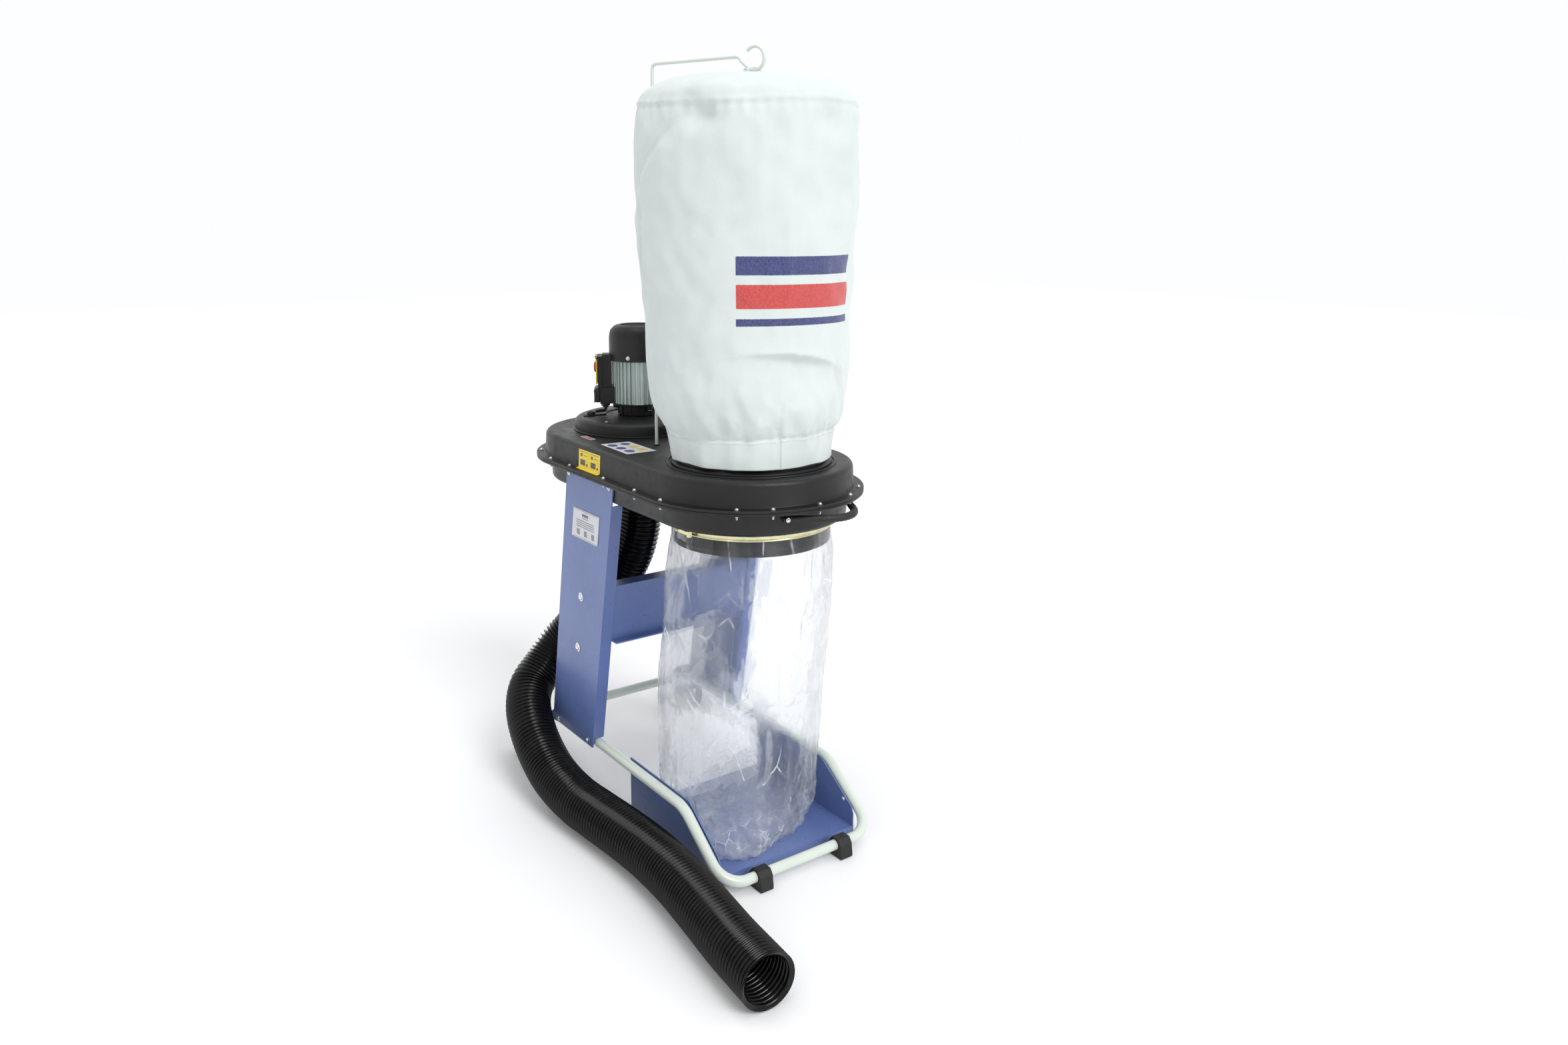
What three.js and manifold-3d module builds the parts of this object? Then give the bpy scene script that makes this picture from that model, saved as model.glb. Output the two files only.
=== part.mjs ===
// A two-bag dust collector on a tubular stand: a flat plastic housing with a vertical motor and
// impeller at one end, a filter bag above and a clear dust bag below its other end, and a ribbed
// suction hose. Millimetres, Z up. The front is -Y, the motor end is -X, the bag end is +X.
import * as THREE from "three";
import { mergeVertices } from "three/addons/utils/BufferGeometryUtils.js";
import Module from "manifold-3d";

const wasm = await Module();
wasm.setup();
const { Manifold, Mesh } = wasm;

// Driving dimensions -------------------------------------------------------------------------
const gap = 0.3; // clearance left between neighbouring pieces
const originShiftX = -9.3; // puts the origin under the middle of the machine without its hose

const halfSpan = 201; // half the distance between the housing's two round ends
const flangeR = 205; // half width of the bolted flange
const flangeTopZ = 673;
const flangeT = 4.7; // thickness of each shell's flange
const upperR = 185;
const deckZ = 717; // top of the upper shell
const lowerR = 175;
const bellyZ = 620; // underside of the lower shell
const skin = 3; // moulded wall thickness

const motorX = -197;
const bagX = 207;
const coverR = 129.4; // round fan cover that carries the motor
const coverTopZ = 743;
const seatZ = 745; // flat of the fan cover that the motor stands on
const statorZ = [770, 858];
const statorR = 52;
const cowlR = 57.5;
const cowlTopZ = 929;
const shaftR = 8.5;
const switchAngle = -120; // direction, in degrees, that the switch faces

const legY = 178; // outer face of each leg's web
const sheet = 2.5; // sheet steel thickness of the legs and cross panel
const legTopZ = 663;
const legBottomZ = 106;
const legFlange = 23.6;

const tubeR = 9.5;
const tubeY = 163;
const tubeZ = 114;
const rearBarX = -278;
const frontBarX = 363;
const frontBarZ = 22;

const trayX = [18, 327];
const trayHalfY = 150;
const trayZ = 18.7;

const wheelR = 52;
const wheelX = -342;
const wheelY = [188, 212];

const collarR = 142; // dust bag collar
const neckR = 137; // filter bag collar
const rodR = 3;
const postX = -5;
const postY = -70;
const armZ = 1416;

const hoseR = 46;
const spigotR = 42;

// Materials ------------------------------------------------------------------------------------
function finish(hex, roughness, metalness, extra = {}) {
  return new THREE.MeshStandardMaterial({ color: hex, roughness, metalness, ...extra });
}
const blackPlastic = finish(0x17171a, 0.55, 0);
const glossBlack = finish(0x101012, 0.25, 0);
const bluePaint = finish(0x35477f, 0.4, 0.1);
const greyPaint = finish(0xc9d0c8, 0.3, 0.1);
const aluminium = finish(0xa9b0b0, 0.45, 0.9);
const steel = finish(0xb8b8b8, 0.3, 1);
const copper = finish(0xb0623a, 0.4, 0.8);
const iron = finish(0x55585c, 0.5, 0.9);
const yellow = finish(0xf2c811, 0.45, 0);
const red = finish(0xc81e1e, 0.4, 0);
const green = finish(0x1f8a3b, 0.4, 0);
const cloth = finish(0xe4eeec, 0.9, 0);
const film = finish(0xe8edf2, 0.1, 0, { transparent: true, opacity: 0.35 });
const zinc = finish(0xc9bd7a, 0.35, 0.9);
const rubber = finish(0x1a1a1a, 0.8, 0);

// Shape helpers --------------------------------------------------------------------------------
const TAU = Math.PI * 2;
const rad = THREE.MathUtils.degToRad;

function toManifold(geometry) {
  const bare = geometry.index ? geometry.toNonIndexed() : geometry.clone();
  for (const name of Object.keys(bare.attributes)) {
    if (name !== "position") bare.deleteAttribute(name);
  }
  const merged = mergeVertices(bare, 1e-4);
  const mesh = new Mesh({
    numProp: 3,
    vertProperties: new Float32Array(merged.attributes.position.array),
    triVerts: new Uint32Array(merged.index.array),
  });
  return new Manifold(mesh);
}

function toGeometry(manifold) {
  const mesh = manifold.getMesh();
  const geometry = new THREE.BufferGeometry();
  const positions = new Float32Array(mesh.numVert * 3);
  for (let i = 0; i < mesh.numVert; i++) {
    positions.set(mesh.vertProperties.subarray(i * mesh.numProp, i * mesh.numProp + 3), i * 3);
  }
  geometry.setAttribute("position", new THREE.BufferAttribute(positions, 3));
  geometry.setIndex(new THREE.BufferAttribute(new Uint32Array(mesh.triVerts), 1));
  return geometry;
}

// Body through a stack of equal rings, first to last, capped at both ends.
function loft(rings) {
  const n = rings[0].length;
  const points = rings.flat();
  const index = [];
  for (let i = 0; i + 1 < rings.length; i++) {
    for (let j = 0; j < n; j++) {
      const a = i * n + j;
      const b = i * n + ((j + 1) % n);
      index.push(a, b, b + n, a, b + n, a + n);
    }
  }
  const cap = (start, flip) => {
    const centre = points.length;
    const middle = new THREE.Vector3();
    for (let j = 0; j < n; j++) middle.addScaledVector(points[start + j], 1 / n);
    points.push(middle);
    for (let j = 0; j < n; j++) {
      const a = start + j;
      const b = start + ((j + 1) % n);
      index.push(...(flip ? [centre, b, a] : [centre, a, b]));
    }
  };
  cap(0, true);
  cap((rings.length - 1) * n, false);
  const geometry = new THREE.BufferGeometry().setFromPoints(points);
  geometry.setIndex(index);
  return toManifold(geometry);
}

// Stadium outline of half width r at height z, counter-clockwise from above.
function stadiumRing(r, z, perEnd = 14) {
  const ring = [];
  for (const side of [1, -1]) {
    for (let i = 0; i <= perEnd; i++) {
      const t = -Math.PI / 2 + (Math.PI * i) / perEnd;
      const x = side * (halfSpan + r * Math.cos(t));
      ring.push(new THREE.Vector3(x, side * r * Math.sin(t), z));
    }
  }
  return ring;
}
const stadium = (profile) => loft(profile.map(([r, z]) => stadiumRing(r, z)));

// Round body about a vertical axis at x, y, from [radius, z] pairs that close on themselves.
function turned(profile, x = 0, y = 0, segments = 40) {
  const closed = [...profile, profile[0]].map(([r, z]) => new THREE.Vector2(r, z));
  const body = new THREE.LatheGeometry(closed, segments);
  body.rotateX(Math.PI / 2);
  body.translate(x, y, 0);
  const made = toManifold(body);
  return made.volume() < 0 ? toManifold(flipped(body)) : made;
}
function flipped(geometry) {
  const copy = geometry.clone();
  const index = copy.index.array;
  for (let i = 0; i < index.length; i += 3) [index[i], index[i + 1]] = [index[i + 1], index[i]];
  return copy;
}
const disc = (r, z0, z1, x = 0, y = 0, segments = 40) =>
  Manifold.cylinder(z1 - z0, r, r, segments).translate([x, y, z0]);
const ringOf = (rIn, rOut, z0, z1, x = 0, y = 0, segments = 40) =>
  disc(rOut, z0, z1, x, y, segments).subtract(disc(rIn, z0 - 1, z1 + 1, x, y, segments));
const box = (x0, x1, y0, y1, z0, z1) =>
  Manifold.cube([x1 - x0, y1 - y0, z1 - z0]).translate([x0, y0, z0]);
// Cylinder along Y between y0 and y1.
const discY = (r, y0, y1, x, z, segments = 32) =>
  Manifold.cylinder(y1 - y0, r, r, segments).rotate([-90, 0, 0]).translate([x, y0, z]);
// Cylinder along X between x0 and x1.
const discX = (r, x0, x1, y, z, segments = 24) =>
  Manifold.cylinder(x1 - x0, r, r, segments).rotate([0, 90, 0]).translate([x0, y, z]);

// Plate with the outline [x, z] pairs, between y0 and y1.
function plateXZ(outline, y0, y1) {
  const shape = new THREE.Shape(outline.map(([x, z]) => new THREE.Vector2(x, z)));
  const body = new THREE.ExtrudeGeometry(shape, { depth: y1 - y0, bevelEnabled: false });
  body.rotateX(Math.PI / 2);
  body.translate(0, y1, 0);
  return toManifold(body);
}
// Plate with the outline [x, y] pairs, between z0 and z1.
function plateXY(outline, z0, z1) {
  const shape = new THREE.Shape(outline.map(([x, y]) => new THREE.Vector2(x, y)));
  const body = new THREE.ExtrudeGeometry(shape, { depth: z1 - z0, bevelEnabled: false });
  body.translate(0, 0, z0);
  return toManifold(body);
}
const union = (...bodies) => Manifold.union(bodies);

// Centre line of a bent bar: straight runs through the corners, each rounded by its radius.
function bentLine(corners, bends, closed = false, perBend = 8) {
  const points = corners.map((c) => new THREE.Vector3(...c));
  const path = [];
  points.forEach((corner, i) => {
    const before = points[(i - 1 + points.length) % points.length];
    const after = points[(i + 1) % points.length];
    if (!closed && (i === 0 || i === points.length - 1)) {
      path.push(corner);
      return;
    }
    const inward = before.clone().sub(corner).normalize();
    const outward = after.clone().sub(corner).normalize();
    const half = inward.angleTo(outward) / 2;
    const reach = bends[i] / Math.tan(half);
    const centre = inward.clone().add(outward).normalize().multiplyScalar(bends[i] / Math.sin(half));
    const start = inward.clone().multiplyScalar(reach).sub(centre);
    const end = outward.clone().multiplyScalar(reach).sub(centre);
    const sweep = start.angleTo(end);
    for (let k = 0; k <= perBend; k++) {
      const t = k / perBend;
      const a = Math.sin((1 - t) * sweep) / Math.sin(sweep);
      const b = Math.sin(t * sweep) / Math.sin(sweep);
      const spoke = start.clone().multiplyScalar(a).addScaledVector(end, b);
      path.push(spoke.add(centre).add(corner));
    }
  });
  return path;
}

// Solid round bar along a list of points. The rings are carried along without twisting.
function bar(path, radius, sides = 14, closed = false) {
  const n = path.length;
  const tangents = path.map((p, i) => {
    const a = closed ? path[(i - 1 + n) % n] : path[Math.max(i - 1, 0)];
    const b = closed ? path[(i + 1) % n] : path[Math.min(i + 1, n - 1)];
    return b.clone().sub(a).normalize();
  });
  let side = new THREE.Vector3(0.3, 0.5, 0.8).cross(tangents[0]).normalize();
  const rings = path.map((p, i) => {
    side = side.clone().addScaledVector(tangents[i], -side.dot(tangents[i])).normalize();
    const other = tangents[i].clone().cross(side);
    return Array.from({ length: sides }, (_, j) => {
      const t = (TAU * j) / sides;
      const [along, across] = [radius * Math.cos(t), radius * Math.sin(t)];
      return p.clone().addScaledVector(side, along).addScaledVector(other, across);
    });
  });
  if (!closed) return loft(rings);
  const index = [];
  const last = rings[n - 1];
  let best = 0;
  for (let k = 1; k < sides; k++) {
    if (last[0].distanceTo(rings[0][k]) < last[0].distanceTo(rings[0][best])) best = k;
  }
  for (let i = 0; i < n; i++) {
    for (let j = 0; j < sides; j++) {
      const next = (j + 1) % sides;
      const shift = i === n - 1 ? best : 0;
      const row = ((i + 1) % n) * sides;
      const a = i * sides + j;
      const b = i * sides + next;
      const c = row + ((next + shift) % sides);
      const d = row + ((j + shift) % sides);
      index.push(a, b, c, a, c, d);
    }
  }
  const geometry = new THREE.BufferGeometry().setFromPoints(rings.flat());
  geometry.setIndex(index);
  return toManifold(geometry);
}

// Assembly -------------------------------------------------------------------------------------
const machine = new THREE.Group();
machine.name = "dust_collector";
machine.position.x = originShiftX;

function add(name, manifold, material, parent = machine) {
  const mesh = new THREE.Mesh(toGeometry(manifold), material);
  mesh.name = name;
  parent.add(mesh);
  return mesh;
}

// Housing ----------------------------------------------------------------------------------------
function upperShell() {
  const under = flangeTopZ - flangeT;
  const outer = stadium([
    [flangeR, under],
    [flangeR, flangeTopZ],
    [upperR + 2.5, flangeTopZ],
    [upperR + 0.5, deckZ - 12],
    [upperR - 1.5, deckZ - 5],
    [upperR - 6, deckZ - 1.2],
    [upperR - 12, deckZ],
  ]);
  const inner = stadium([
    [upperR - 0.5, under - 1],
    [upperR - 2.5, deckZ - 12],
    [upperR - 9, deckZ - skin - 1],
    [upperR - 14, deckZ - skin],
  ]);
  return outer
    .subtract(inner)
    .subtract(disc(coverR - 12, deckZ - 10, deckZ + 1, motorX, 0, 36))
    .subtract(disc(neckR - 5, deckZ - 10, deckZ + 1, bagX, 0, 36))
    .subtract(disc(rodR + 0.4, deckZ - 10, deckZ + 1, postX, postY, 16));
}

function lowerShell() {
  const top = flangeTopZ - flangeT - gap;
  const outer = stadium([
    [lowerR - 10, bellyZ],
    [lowerR - 4, bellyZ + 1.8],
    [lowerR - 1, bellyZ + 7],
    [lowerR, top - flangeT],
    [flangeR, top - flangeT],
    [flangeR, top],
  ]);
  const inner = stadium([
    [lowerR - 12, bellyZ + skin],
    [lowerR - 5, bellyZ + skin + 4],
    [lowerR - 3, top - flangeT],
    [upperR - 4, top + 1],
  ]);
  return outer
    .subtract(inner)
    .subtract(disc(collarR + gap, bellyZ - 1, bellyZ + 10, bagX, 0, 36))
    .subtract(disc(spigotR + gap, bellyZ - 1, bellyZ + 10, motorX, 0, 36));
}

// Round cover with the motor's seat in its middle.
function fanCover() {
  const base = deckZ + gap;
  return turned([
    [coverR, base],
    [coverR - 1, coverTopZ - 8],
    [coverR - 4, coverTopZ - 2],
    [coverR - 9, coverTopZ],
    [52, seatZ],
    [14, seatZ],
    [14, seatZ - 4],
    [50, seatZ - 4],
    [coverR - 11, coverTopZ - 4],
    [coverR - 5, coverTopZ - 8],
    [coverR - 5, base],
  ], motorX, 0, 40);
}

// Spiral wall around the impeller that opens towards the bag end.
function fanScroll() {
  const outline = [];
  const back = [];
  const steps = 34;
  for (let i = 0; i <= steps; i++) {
    const t = i / steps;
    const angle = rad(-60 + 320 * t);
    const r = 158 - 42 * t;
    outline.push([motorX + r * Math.cos(angle), r * Math.sin(angle)]);
    back.unshift([motorX + (r - 2) * Math.cos(angle), (r - 2) * Math.sin(angle)]);
  }
  return plateXY([...outline, ...back], bellyZ + 10, deckZ - skin - 1);
}

function filterCollar() {
  const base = deckZ + gap;
  return turned([
    [neckR - 3, base],
    [neckR + 7, base],
    [neckR + 7, base + 3],
    [neckR + 3, base + 6],
    [neckR, base + 7],
    [neckR, base + 46],
    [neckR - 3, base + 46],
  ], bagX, 0, 36);
}

function dustCollar() {
  const floor = bellyZ + skin + gap;
  return turned([
    [collarR - 3, bellyZ - 42],
    [collarR, bellyZ - 42],
    [collarR, floor],
    [collarR + 8, floor],
    [collarR + 8, floor + 2],
    [collarR - 3, floor + 2],
  ], bagX, 0, 36);
}

function inletSpigot() {
  const floor = bellyZ + skin + gap;
  return turned([
    [spigotR - 2, bellyZ - 36],
    [spigotR, bellyZ - 36],
    [spigotR, floor],
    [spigotR + 12, floor],
    [spigotR + 12, floor + 2],
    [spigotR - 2, floor + 2],
  ], motorX, 0, 36);
}

// Moulded finger grip whose middle stands clear of the housing's round end.
const gripZ = 651;
const gripFrom = -15;
const gripTo = 41;
function gripPoint(t) {
  const angle = rad(gripFrom + (gripTo - gripFrom) * t);
  const r = lowerR + 7 + 41 * Math.sin(Math.PI * THREE.MathUtils.clamp(t, 0, 1)) ** 2;
  return new THREE.Vector3(halfSpan + r * Math.cos(angle), r * Math.sin(angle), gripZ);
}
// Cylinder that points outwards from the middle of the housing's round end.
const spoke = (radius, from, to, angleDeg, segments) =>
  Manifold.cylinder(to - from, radius, radius, segments).translate([0, 0, from])
    .rotate([0, 90, 0]).rotate([0, 0, angleDeg]).translate([halfSpan, 0, gripZ]);

function carryHandle() {
  const path = Array.from({ length: 15 }, (_, i) => gripPoint(-0.04 + (1.08 * i) / 14));
  const foot = (angle) => spoke(8, lowerR + 0.6, lowerR + 12.5, angle, 20);
  const hole = (angle) => spoke(2.8, lowerR, lowerR + 20, angle, 12);
  return bar(path, 5.5, 8).add(foot(gripFrom)).add(foot(gripTo))
    .subtract(hole(gripFrom)).subtract(hole(gripTo));
}
function handleBolt(angle) {
  const shank = spoke(2.5, lowerR + 0.4, lowerR + 14, angle, 12);
  return shank.add(spoke(4.6, lowerR + 12.8, lowerR + 16, angle, 6));
}

add("upper_shell", upperShell(), blackPlastic);
add("lower_shell", lowerShell(), blackPlastic);
add("fan_cover", fanCover(), blackPlastic);
add("fan_scroll", fanScroll(), iron);
add("filter_collar", filterCollar(), blackPlastic);
add("dust_collar", dustCollar(), blackPlastic);
add("inlet_spigot", inletSpigot(), blackPlastic);
add("carry_handle", carryHandle(), rubber);
add("handle_bolt_front", handleBolt(gripFrom), steel);
add("handle_bolt_rear", handleBolt(gripTo), steel);

// Suction path and bags --------------------------------------------------------------------------
// Route of the hose's centre line, from the spigot down behind the front leg, over the front
// wheel and forward along the floor to its open mouth.
const hoseRoute = [
  [-197, 0, 618], [-197, 0, 590], [-197, 0, 550], [-200, -3, 505], [-209, -11, 458],
  [-230, -25, 408], [-260, -45, 358], [-291, -70, 310], [-318, -98, 267], [-332, -131, 229],
  [-327, -165, 195], [-313, -200, 168], [-279, -225, 143], [-232, -240, 116], [-175, -247, 85],
  [-105, -250, 60], [-20, -248, 48.5], [60, -241, 47], [140, -234, 47], [225, -230, 47],
  [323, -233, 47], [424, -244, 47], [517, -256, 47], [584, -262, 47], [630, -266, 47],
];
function suctionHose() {
  const points = hoseRoute.map((p) => new THREE.Vector3(...p));
  const curve = new THREE.CatmullRomCurve3(points, false, "centripetal");
  const circle = (shape, r, turn) => {
    for (let i = 0; i <= 12; i++) {
      const t = (turn * TAU * i) / 12;
      shape[i ? "lineTo" : "moveTo"](r * Math.cos(t), r * Math.sin(t));
    }
    return shape;
  };
  const section = circle(new THREE.Shape(), hoseR, 1);
  section.holes.push(circle(new THREE.Path(), hoseR - 2, -1));
  const options = { steps: 48, bevelEnabled: false, extrudePath: curve };
  return toManifold(new THREE.ExtrudeGeometry(section, options));
}
function hoseClamp() {
  const screw = box(motorX - 14, motorX + 14, -hoseR - 9, -hoseR, bellyZ - 27, bellyZ - 17);
  return ringOf(hoseR + 0.6, hoseR + 2, bellyZ - 28, bellyZ - 16, motorX, 0, 36)
    .add(screw.subtract(disc(hoseR + 0.6, bellyZ - 40, bellyZ, motorX, 0, 36)));
}

// Soft tube through [z, x, y, radius] stations, open at the ends it is told to leave open.
function softShell(stations, wall, openTop, openBottom) {
  const around = 36;
  const ring = ([z, x, y, r], inset) => Array.from({ length: around }, (_, j) => {
    const t = (TAU * j) / around;
    return new THREE.Vector3(x + (r - inset) * Math.cos(t), y + (r - inset) * Math.sin(t), z);
  });
  const outer = loft(stations.map((s) => ring(s, 0)));
  const inside = stations.map(([z, x, y, r], i) => {
    const last = stations.length - 1;
    const lift = (i === 0 ? (openBottom ? -1 : wall) : 0) + (i === last ? (openTop ? 1 : -wall) : 0);
    return [z + lift, x, y, r];
  });
  return outer.subtract(loft(inside.map((s) => ring(s, wall))));
}
const filterBagStations = [
  [deckZ + 12, bagX - 2, 0, 143], [deckZ + 58, bagX - 2, 0, 145], [deckZ + 90, bagX - 4, 0, 157],
  [860, bagX - 6, -1, 168], [1000, bagX - 9, -3, 177], [1150, bagX - 10, -4, 187],
  [1295, bagX - 8, -3, 184], [1342, bagX - 6, -2, 166], [1370, bagX - 4, 0, 106], [1383, bagX - 1, 3, 30],
];
function dustBagStations() {
  return [
    [trayZ + gap, 168, 0, 92], [34, 166, 0, 118], [60, 163, 0, 134], [115, 163, 0, 141.5],
    [300, 176, 0, 147], [450, 193, 0, 148], [545, 203, 0, 146],
    [bellyZ - 42, bagX, 0, collarR + 1.9], [bellyZ - 3, bagX, 0, collarR + 1.9],
  ];
}
// Sprung steel band sewn into the filter bag's hem.
function snapBand() {
  return ringOf(neckR + 0.4, neckR + 1.4, deckZ + 26, deckZ + 44, bagX, 0, 36);
}
const clampZ = [bellyZ - 13.5, bellyZ - 3.5];
function dustBagClamp() {
  const r = collarR + 2.3;
  const hingeEar = box(bagX - 9, bagX - 3, -r - 9, -r - 1, clampZ[0] + 3, clampZ[1] - 3);
  return ringOf(r, r + 1.8, clampZ[0], clampZ[1], bagX, 0, 36).add(hingeEar);
}
function clampLever() {
  const r = collarR + 2.3;
  return box(bagX - 2.6, bagX + 34, -r - 9, -r - 4.6, clampZ[0] + 2, clampZ[1] - 2)
    .add(box(bagX + 30, bagX + 36, -r - 11, -r - 4.6, clampZ[0], clampZ[1]));
}

add("suction_hose", suctionHose(), glossBlack);
add("hose_clamp", hoseClamp(), steel);
add("filter_bag", softShell(filterBagStations, 2, false, true), cloth);
add("filter_bag_snap_band", snapBand(), steel);
add("dust_bag", softShell(dustBagStations(), 1.5, true, false), film);
add("dust_bag_clamp", dustBagClamp(), zinc);
add("dust_bag_clamp_lever", clampLever(), zinc);

// Motor and impeller -----------------------------------------------------------------------------
const [statorLow, statorHigh] = statorZ;
function finnedHousing() {
  const fins = 28;
  const outline = [];
  for (let i = 0; i < fins; i++) {
    for (const [share, r] of [[0, statorR], [0.42, statorR], [0.55, statorR - 4], [0.87, statorR - 4]]) {
      const t = (TAU * (i + share)) / fins;
      outline.push([motorX + r * Math.cos(t), r * Math.sin(t)]);
    }
  }
  return plateXY(outline, statorLow, statorHigh).subtract(disc(44, statorLow - 1, statorHigh + 1, motorX));
}
const atMotor = (profile, segments) => turned(profile, motorX, 0, segments);
// Lower end shield: a drum on the fan cover with a rim and three screw lugs under the stator.
const lugAngles = [-119, 1, 121];
function lowerEndShield() {
  const bottom = seatZ + gap;
  const top = statorLow - gap;
  const drum = atMotor([
    [shaftR + 2, bottom], [40, bottom], [40, top - 3], [50, top - 3], [50, top], [36, top],
    [36, bottom + 4], [23, bottom + 4], [23, bottom + 17], [20.3, bottom + 17], [20.3, bottom + 3],
    [shaftR + 2, bottom + 3],
  ], 28);
  return lugAngles.reduce((body, angle) => {
    const [x, y] = [motorX + 44 * Math.cos(rad(angle)), 44 * Math.sin(rad(angle))];
    return body.add(disc(6, top - 11, top - 1, x, y, 20));
  }, drum);
}
function upperEndShield() {
  const bottom = statorHigh + gap;
  return atMotor([
    [17.8, bottom], [21, bottom], [21, bottom + 4], [50, bottom], [50, bottom + 6], [24, bottom + 13],
    [shaftR, bottom + 13], [shaftR, bottom + 12], [17.8, bottom + 12],
  ], 28);
}
const bearing = (bore, outer, z0, z1) => ringOf(bore + gap, outer, z0, z1, motorX, 0, 28);
function motorShaft() {
  return atMotor([
    [0, 668], [6, 668], [6, 692], [shaftR, 692], [shaftR, statorHigh + 1], [7.5, statorHigh + 1],
    [7.5, statorHigh + 40], [0, statorHigh + 40],
  ], 24);
}
function windings() {
  return atMotor([
    [28.5, statorLow + 4], [42, statorLow + 4], [42, statorLow + 11], [34, statorLow + 12],
    [34, statorHigh - 12], [42, statorHigh - 11], [42, statorHigh - 2], [28.5, statorHigh - 2],
  ], 32);
}
function impeller() {
  const bladeTop = deckZ - 19;
  let body = disc(106, bladeTop, bladeTop + 2.5, motorX, 0, 44)
    .add(disc(22, bladeTop - 22, bladeTop + 8, motorX, 0, 24));
  for (let i = 0; i < 8; i++) {
    const blade = Manifold.cube([84, 2.5, 42]).translate([20, -1.2, bladeTop - 41.5]).rotate([0, 0, i * 45]);
    body = body.add(blade.translate([motorX, 0, 0]));
  }
  return body.subtract(disc(46, bladeTop - 60, bladeTop - 24, motorX, 0, 24))
    .subtract(disc(shaftR + 0.3, bladeTop - 7, bladeTop + 20, motorX, 0, 24))
    .subtract(disc(6.3, bladeTop - 40, bladeTop, motorX, 0, 24));
}
function coolingFan() {
  const low = statorHigh + 18;
  let body = disc(16, low, low + 20, motorX, 0, 24).add(disc(48, low, low + 2, motorX, 0, 32));
  for (let i = 0; i < 8; i++) {
    const blade = box(14, 49, -1, 1, low + 1, low + 18).rotate([0, 0, i * 45]);
    body = body.add(blade.translate([motorX, 0, 0]));
  }
  return body.subtract(disc(7.8, low - 1, low + 30, motorX, 0, 24));
}
// Fan cowl with a top grille of square holes.
function fanCowl() {
  let body = atMotor([
    [cowlR, statorHigh - 1], [cowlR, cowlTopZ - 18], [cowlR - 4, cowlTopZ - 7], [cowlR - 12, cowlTopZ - 1],
    [cowlR - 18, cowlTopZ], [0, cowlTopZ], [0, cowlTopZ - 2.5], [cowlR - 18, cowlTopZ - 2.5],
    [cowlR - 13, cowlTopZ - 3.5], [cowlR - 6, cowlTopZ - 9], [cowlR - 2.5, cowlTopZ - 19],
    [cowlR - 2.5, statorHigh - 1],
  ], 32);
  const pitch = 19;
  for (let i = -1; i <= 1; i++) {
    for (let j = -1; j <= 1; j++) {
      const [x, y] = [motorX + i * pitch, j * pitch];
      body = body.subtract(box(x - 7.5, x + 7.5, y - 7.5, y + 7.5, cowlTopZ - 6, cowlTopZ + 1));
    }
  }
  return body;
}

add("lower_end_shield", lowerEndShield(), blackPlastic);
add("stator_housing", finnedHousing(), aluminium);
add("stator_core", ringOf(34.3, 43.7, statorLow + 12.5, statorHigh - 12.5, motorX, 0, 40), iron);
add("stator_windings", windings(), copper);
add("rotor", ringOf(shaftR + gap, 28, statorLow + 12, statorHigh - 12, motorX, 0, 32), iron);
add("motor_shaft", motorShaft(), steel);
add("lower_bearing", bearing(shaftR, 20, seatZ + 3.6, seatZ + 15.6), steel);
add("upper_bearing", bearing(7.5, 17.5, statorHigh + 1.3, statorHigh + 12), steel);
add("upper_end_shield", upperEndShield(), aluminium);
add("cooling_fan", coolingFan(), blackPlastic);
add("fan_cowl", fanCowl(), blackPlastic);
add("impeller", impeller(), aluminium);
add("impeller_nut", disc(11, 669, 676, motorX, 0, 6).subtract(disc(6.3, 660, 680, motorX, 0, 24)), steel);

// Switch and terminal box, drawn facing +X and then turned about the motor ------------------------
const controls = new THREE.Group();
controls.position.set(motorX, 0, 0);
controls.rotation.z = rad(switchAngle);
machine.add(controls);
const boxZ = [770, 803];
const switchZ = [803.5, 867];
const plateFace = 80;

function terminalBox() {
  const shell = box(47, 76, -27, 27, ...boxZ).subtract(disc(statorR + gap, 700, 900));
  return shell.subtract(box(57, 77, -24.5, 24.5, boxZ[0] + 2.5, boxZ[1] - 2.5))
    .subtract(disc(6.3, boxZ[0] - 1, boxZ[0] + 4, 66, 12, 20));
}
function terminalCover() {
  const hollow = box(76, 85.5, -24.5, 24.5, boxZ[0] + 2.5, boxZ[1] - 5);
  return box(76.3, 88, -29, 29, boxZ[0] - 1.5, boxZ[1] - 2).subtract(hollow);
}
function switchHousing() {
  const front = box(72, plateFace, -26, 26, switchZ[0], switchZ[1] - 1);
  const shell = box(53, 72, -23, 23, ...switchZ).add(front);
  const saddle = disc(cowlR + gap, statorHigh - 2, 950).add(disc(statorR + gap, 700, statorHigh));
  const hollow = box(60, plateFace + 1, -20, 20, switchZ[0] + 3, switchZ[1] - 6);
  return shell.subtract(saddle).subtract(hollow);
}
const buttonZ = [switchZ[0] + 44, switchZ[0] + 22];
function switchPlate() {
  const plate = box(70.3, plateFace - 2, -19.7, 19.7, switchZ[0] + 3.3, switchZ[1] - 6.3);
  return buttonZ.reduce((body, z) => body.subtract(discX(8, 60, 90, 0, z)), plate);
}
const pushButton = (z) => discX(7.6, 66, plateFace - 0.6, 0, z);
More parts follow.
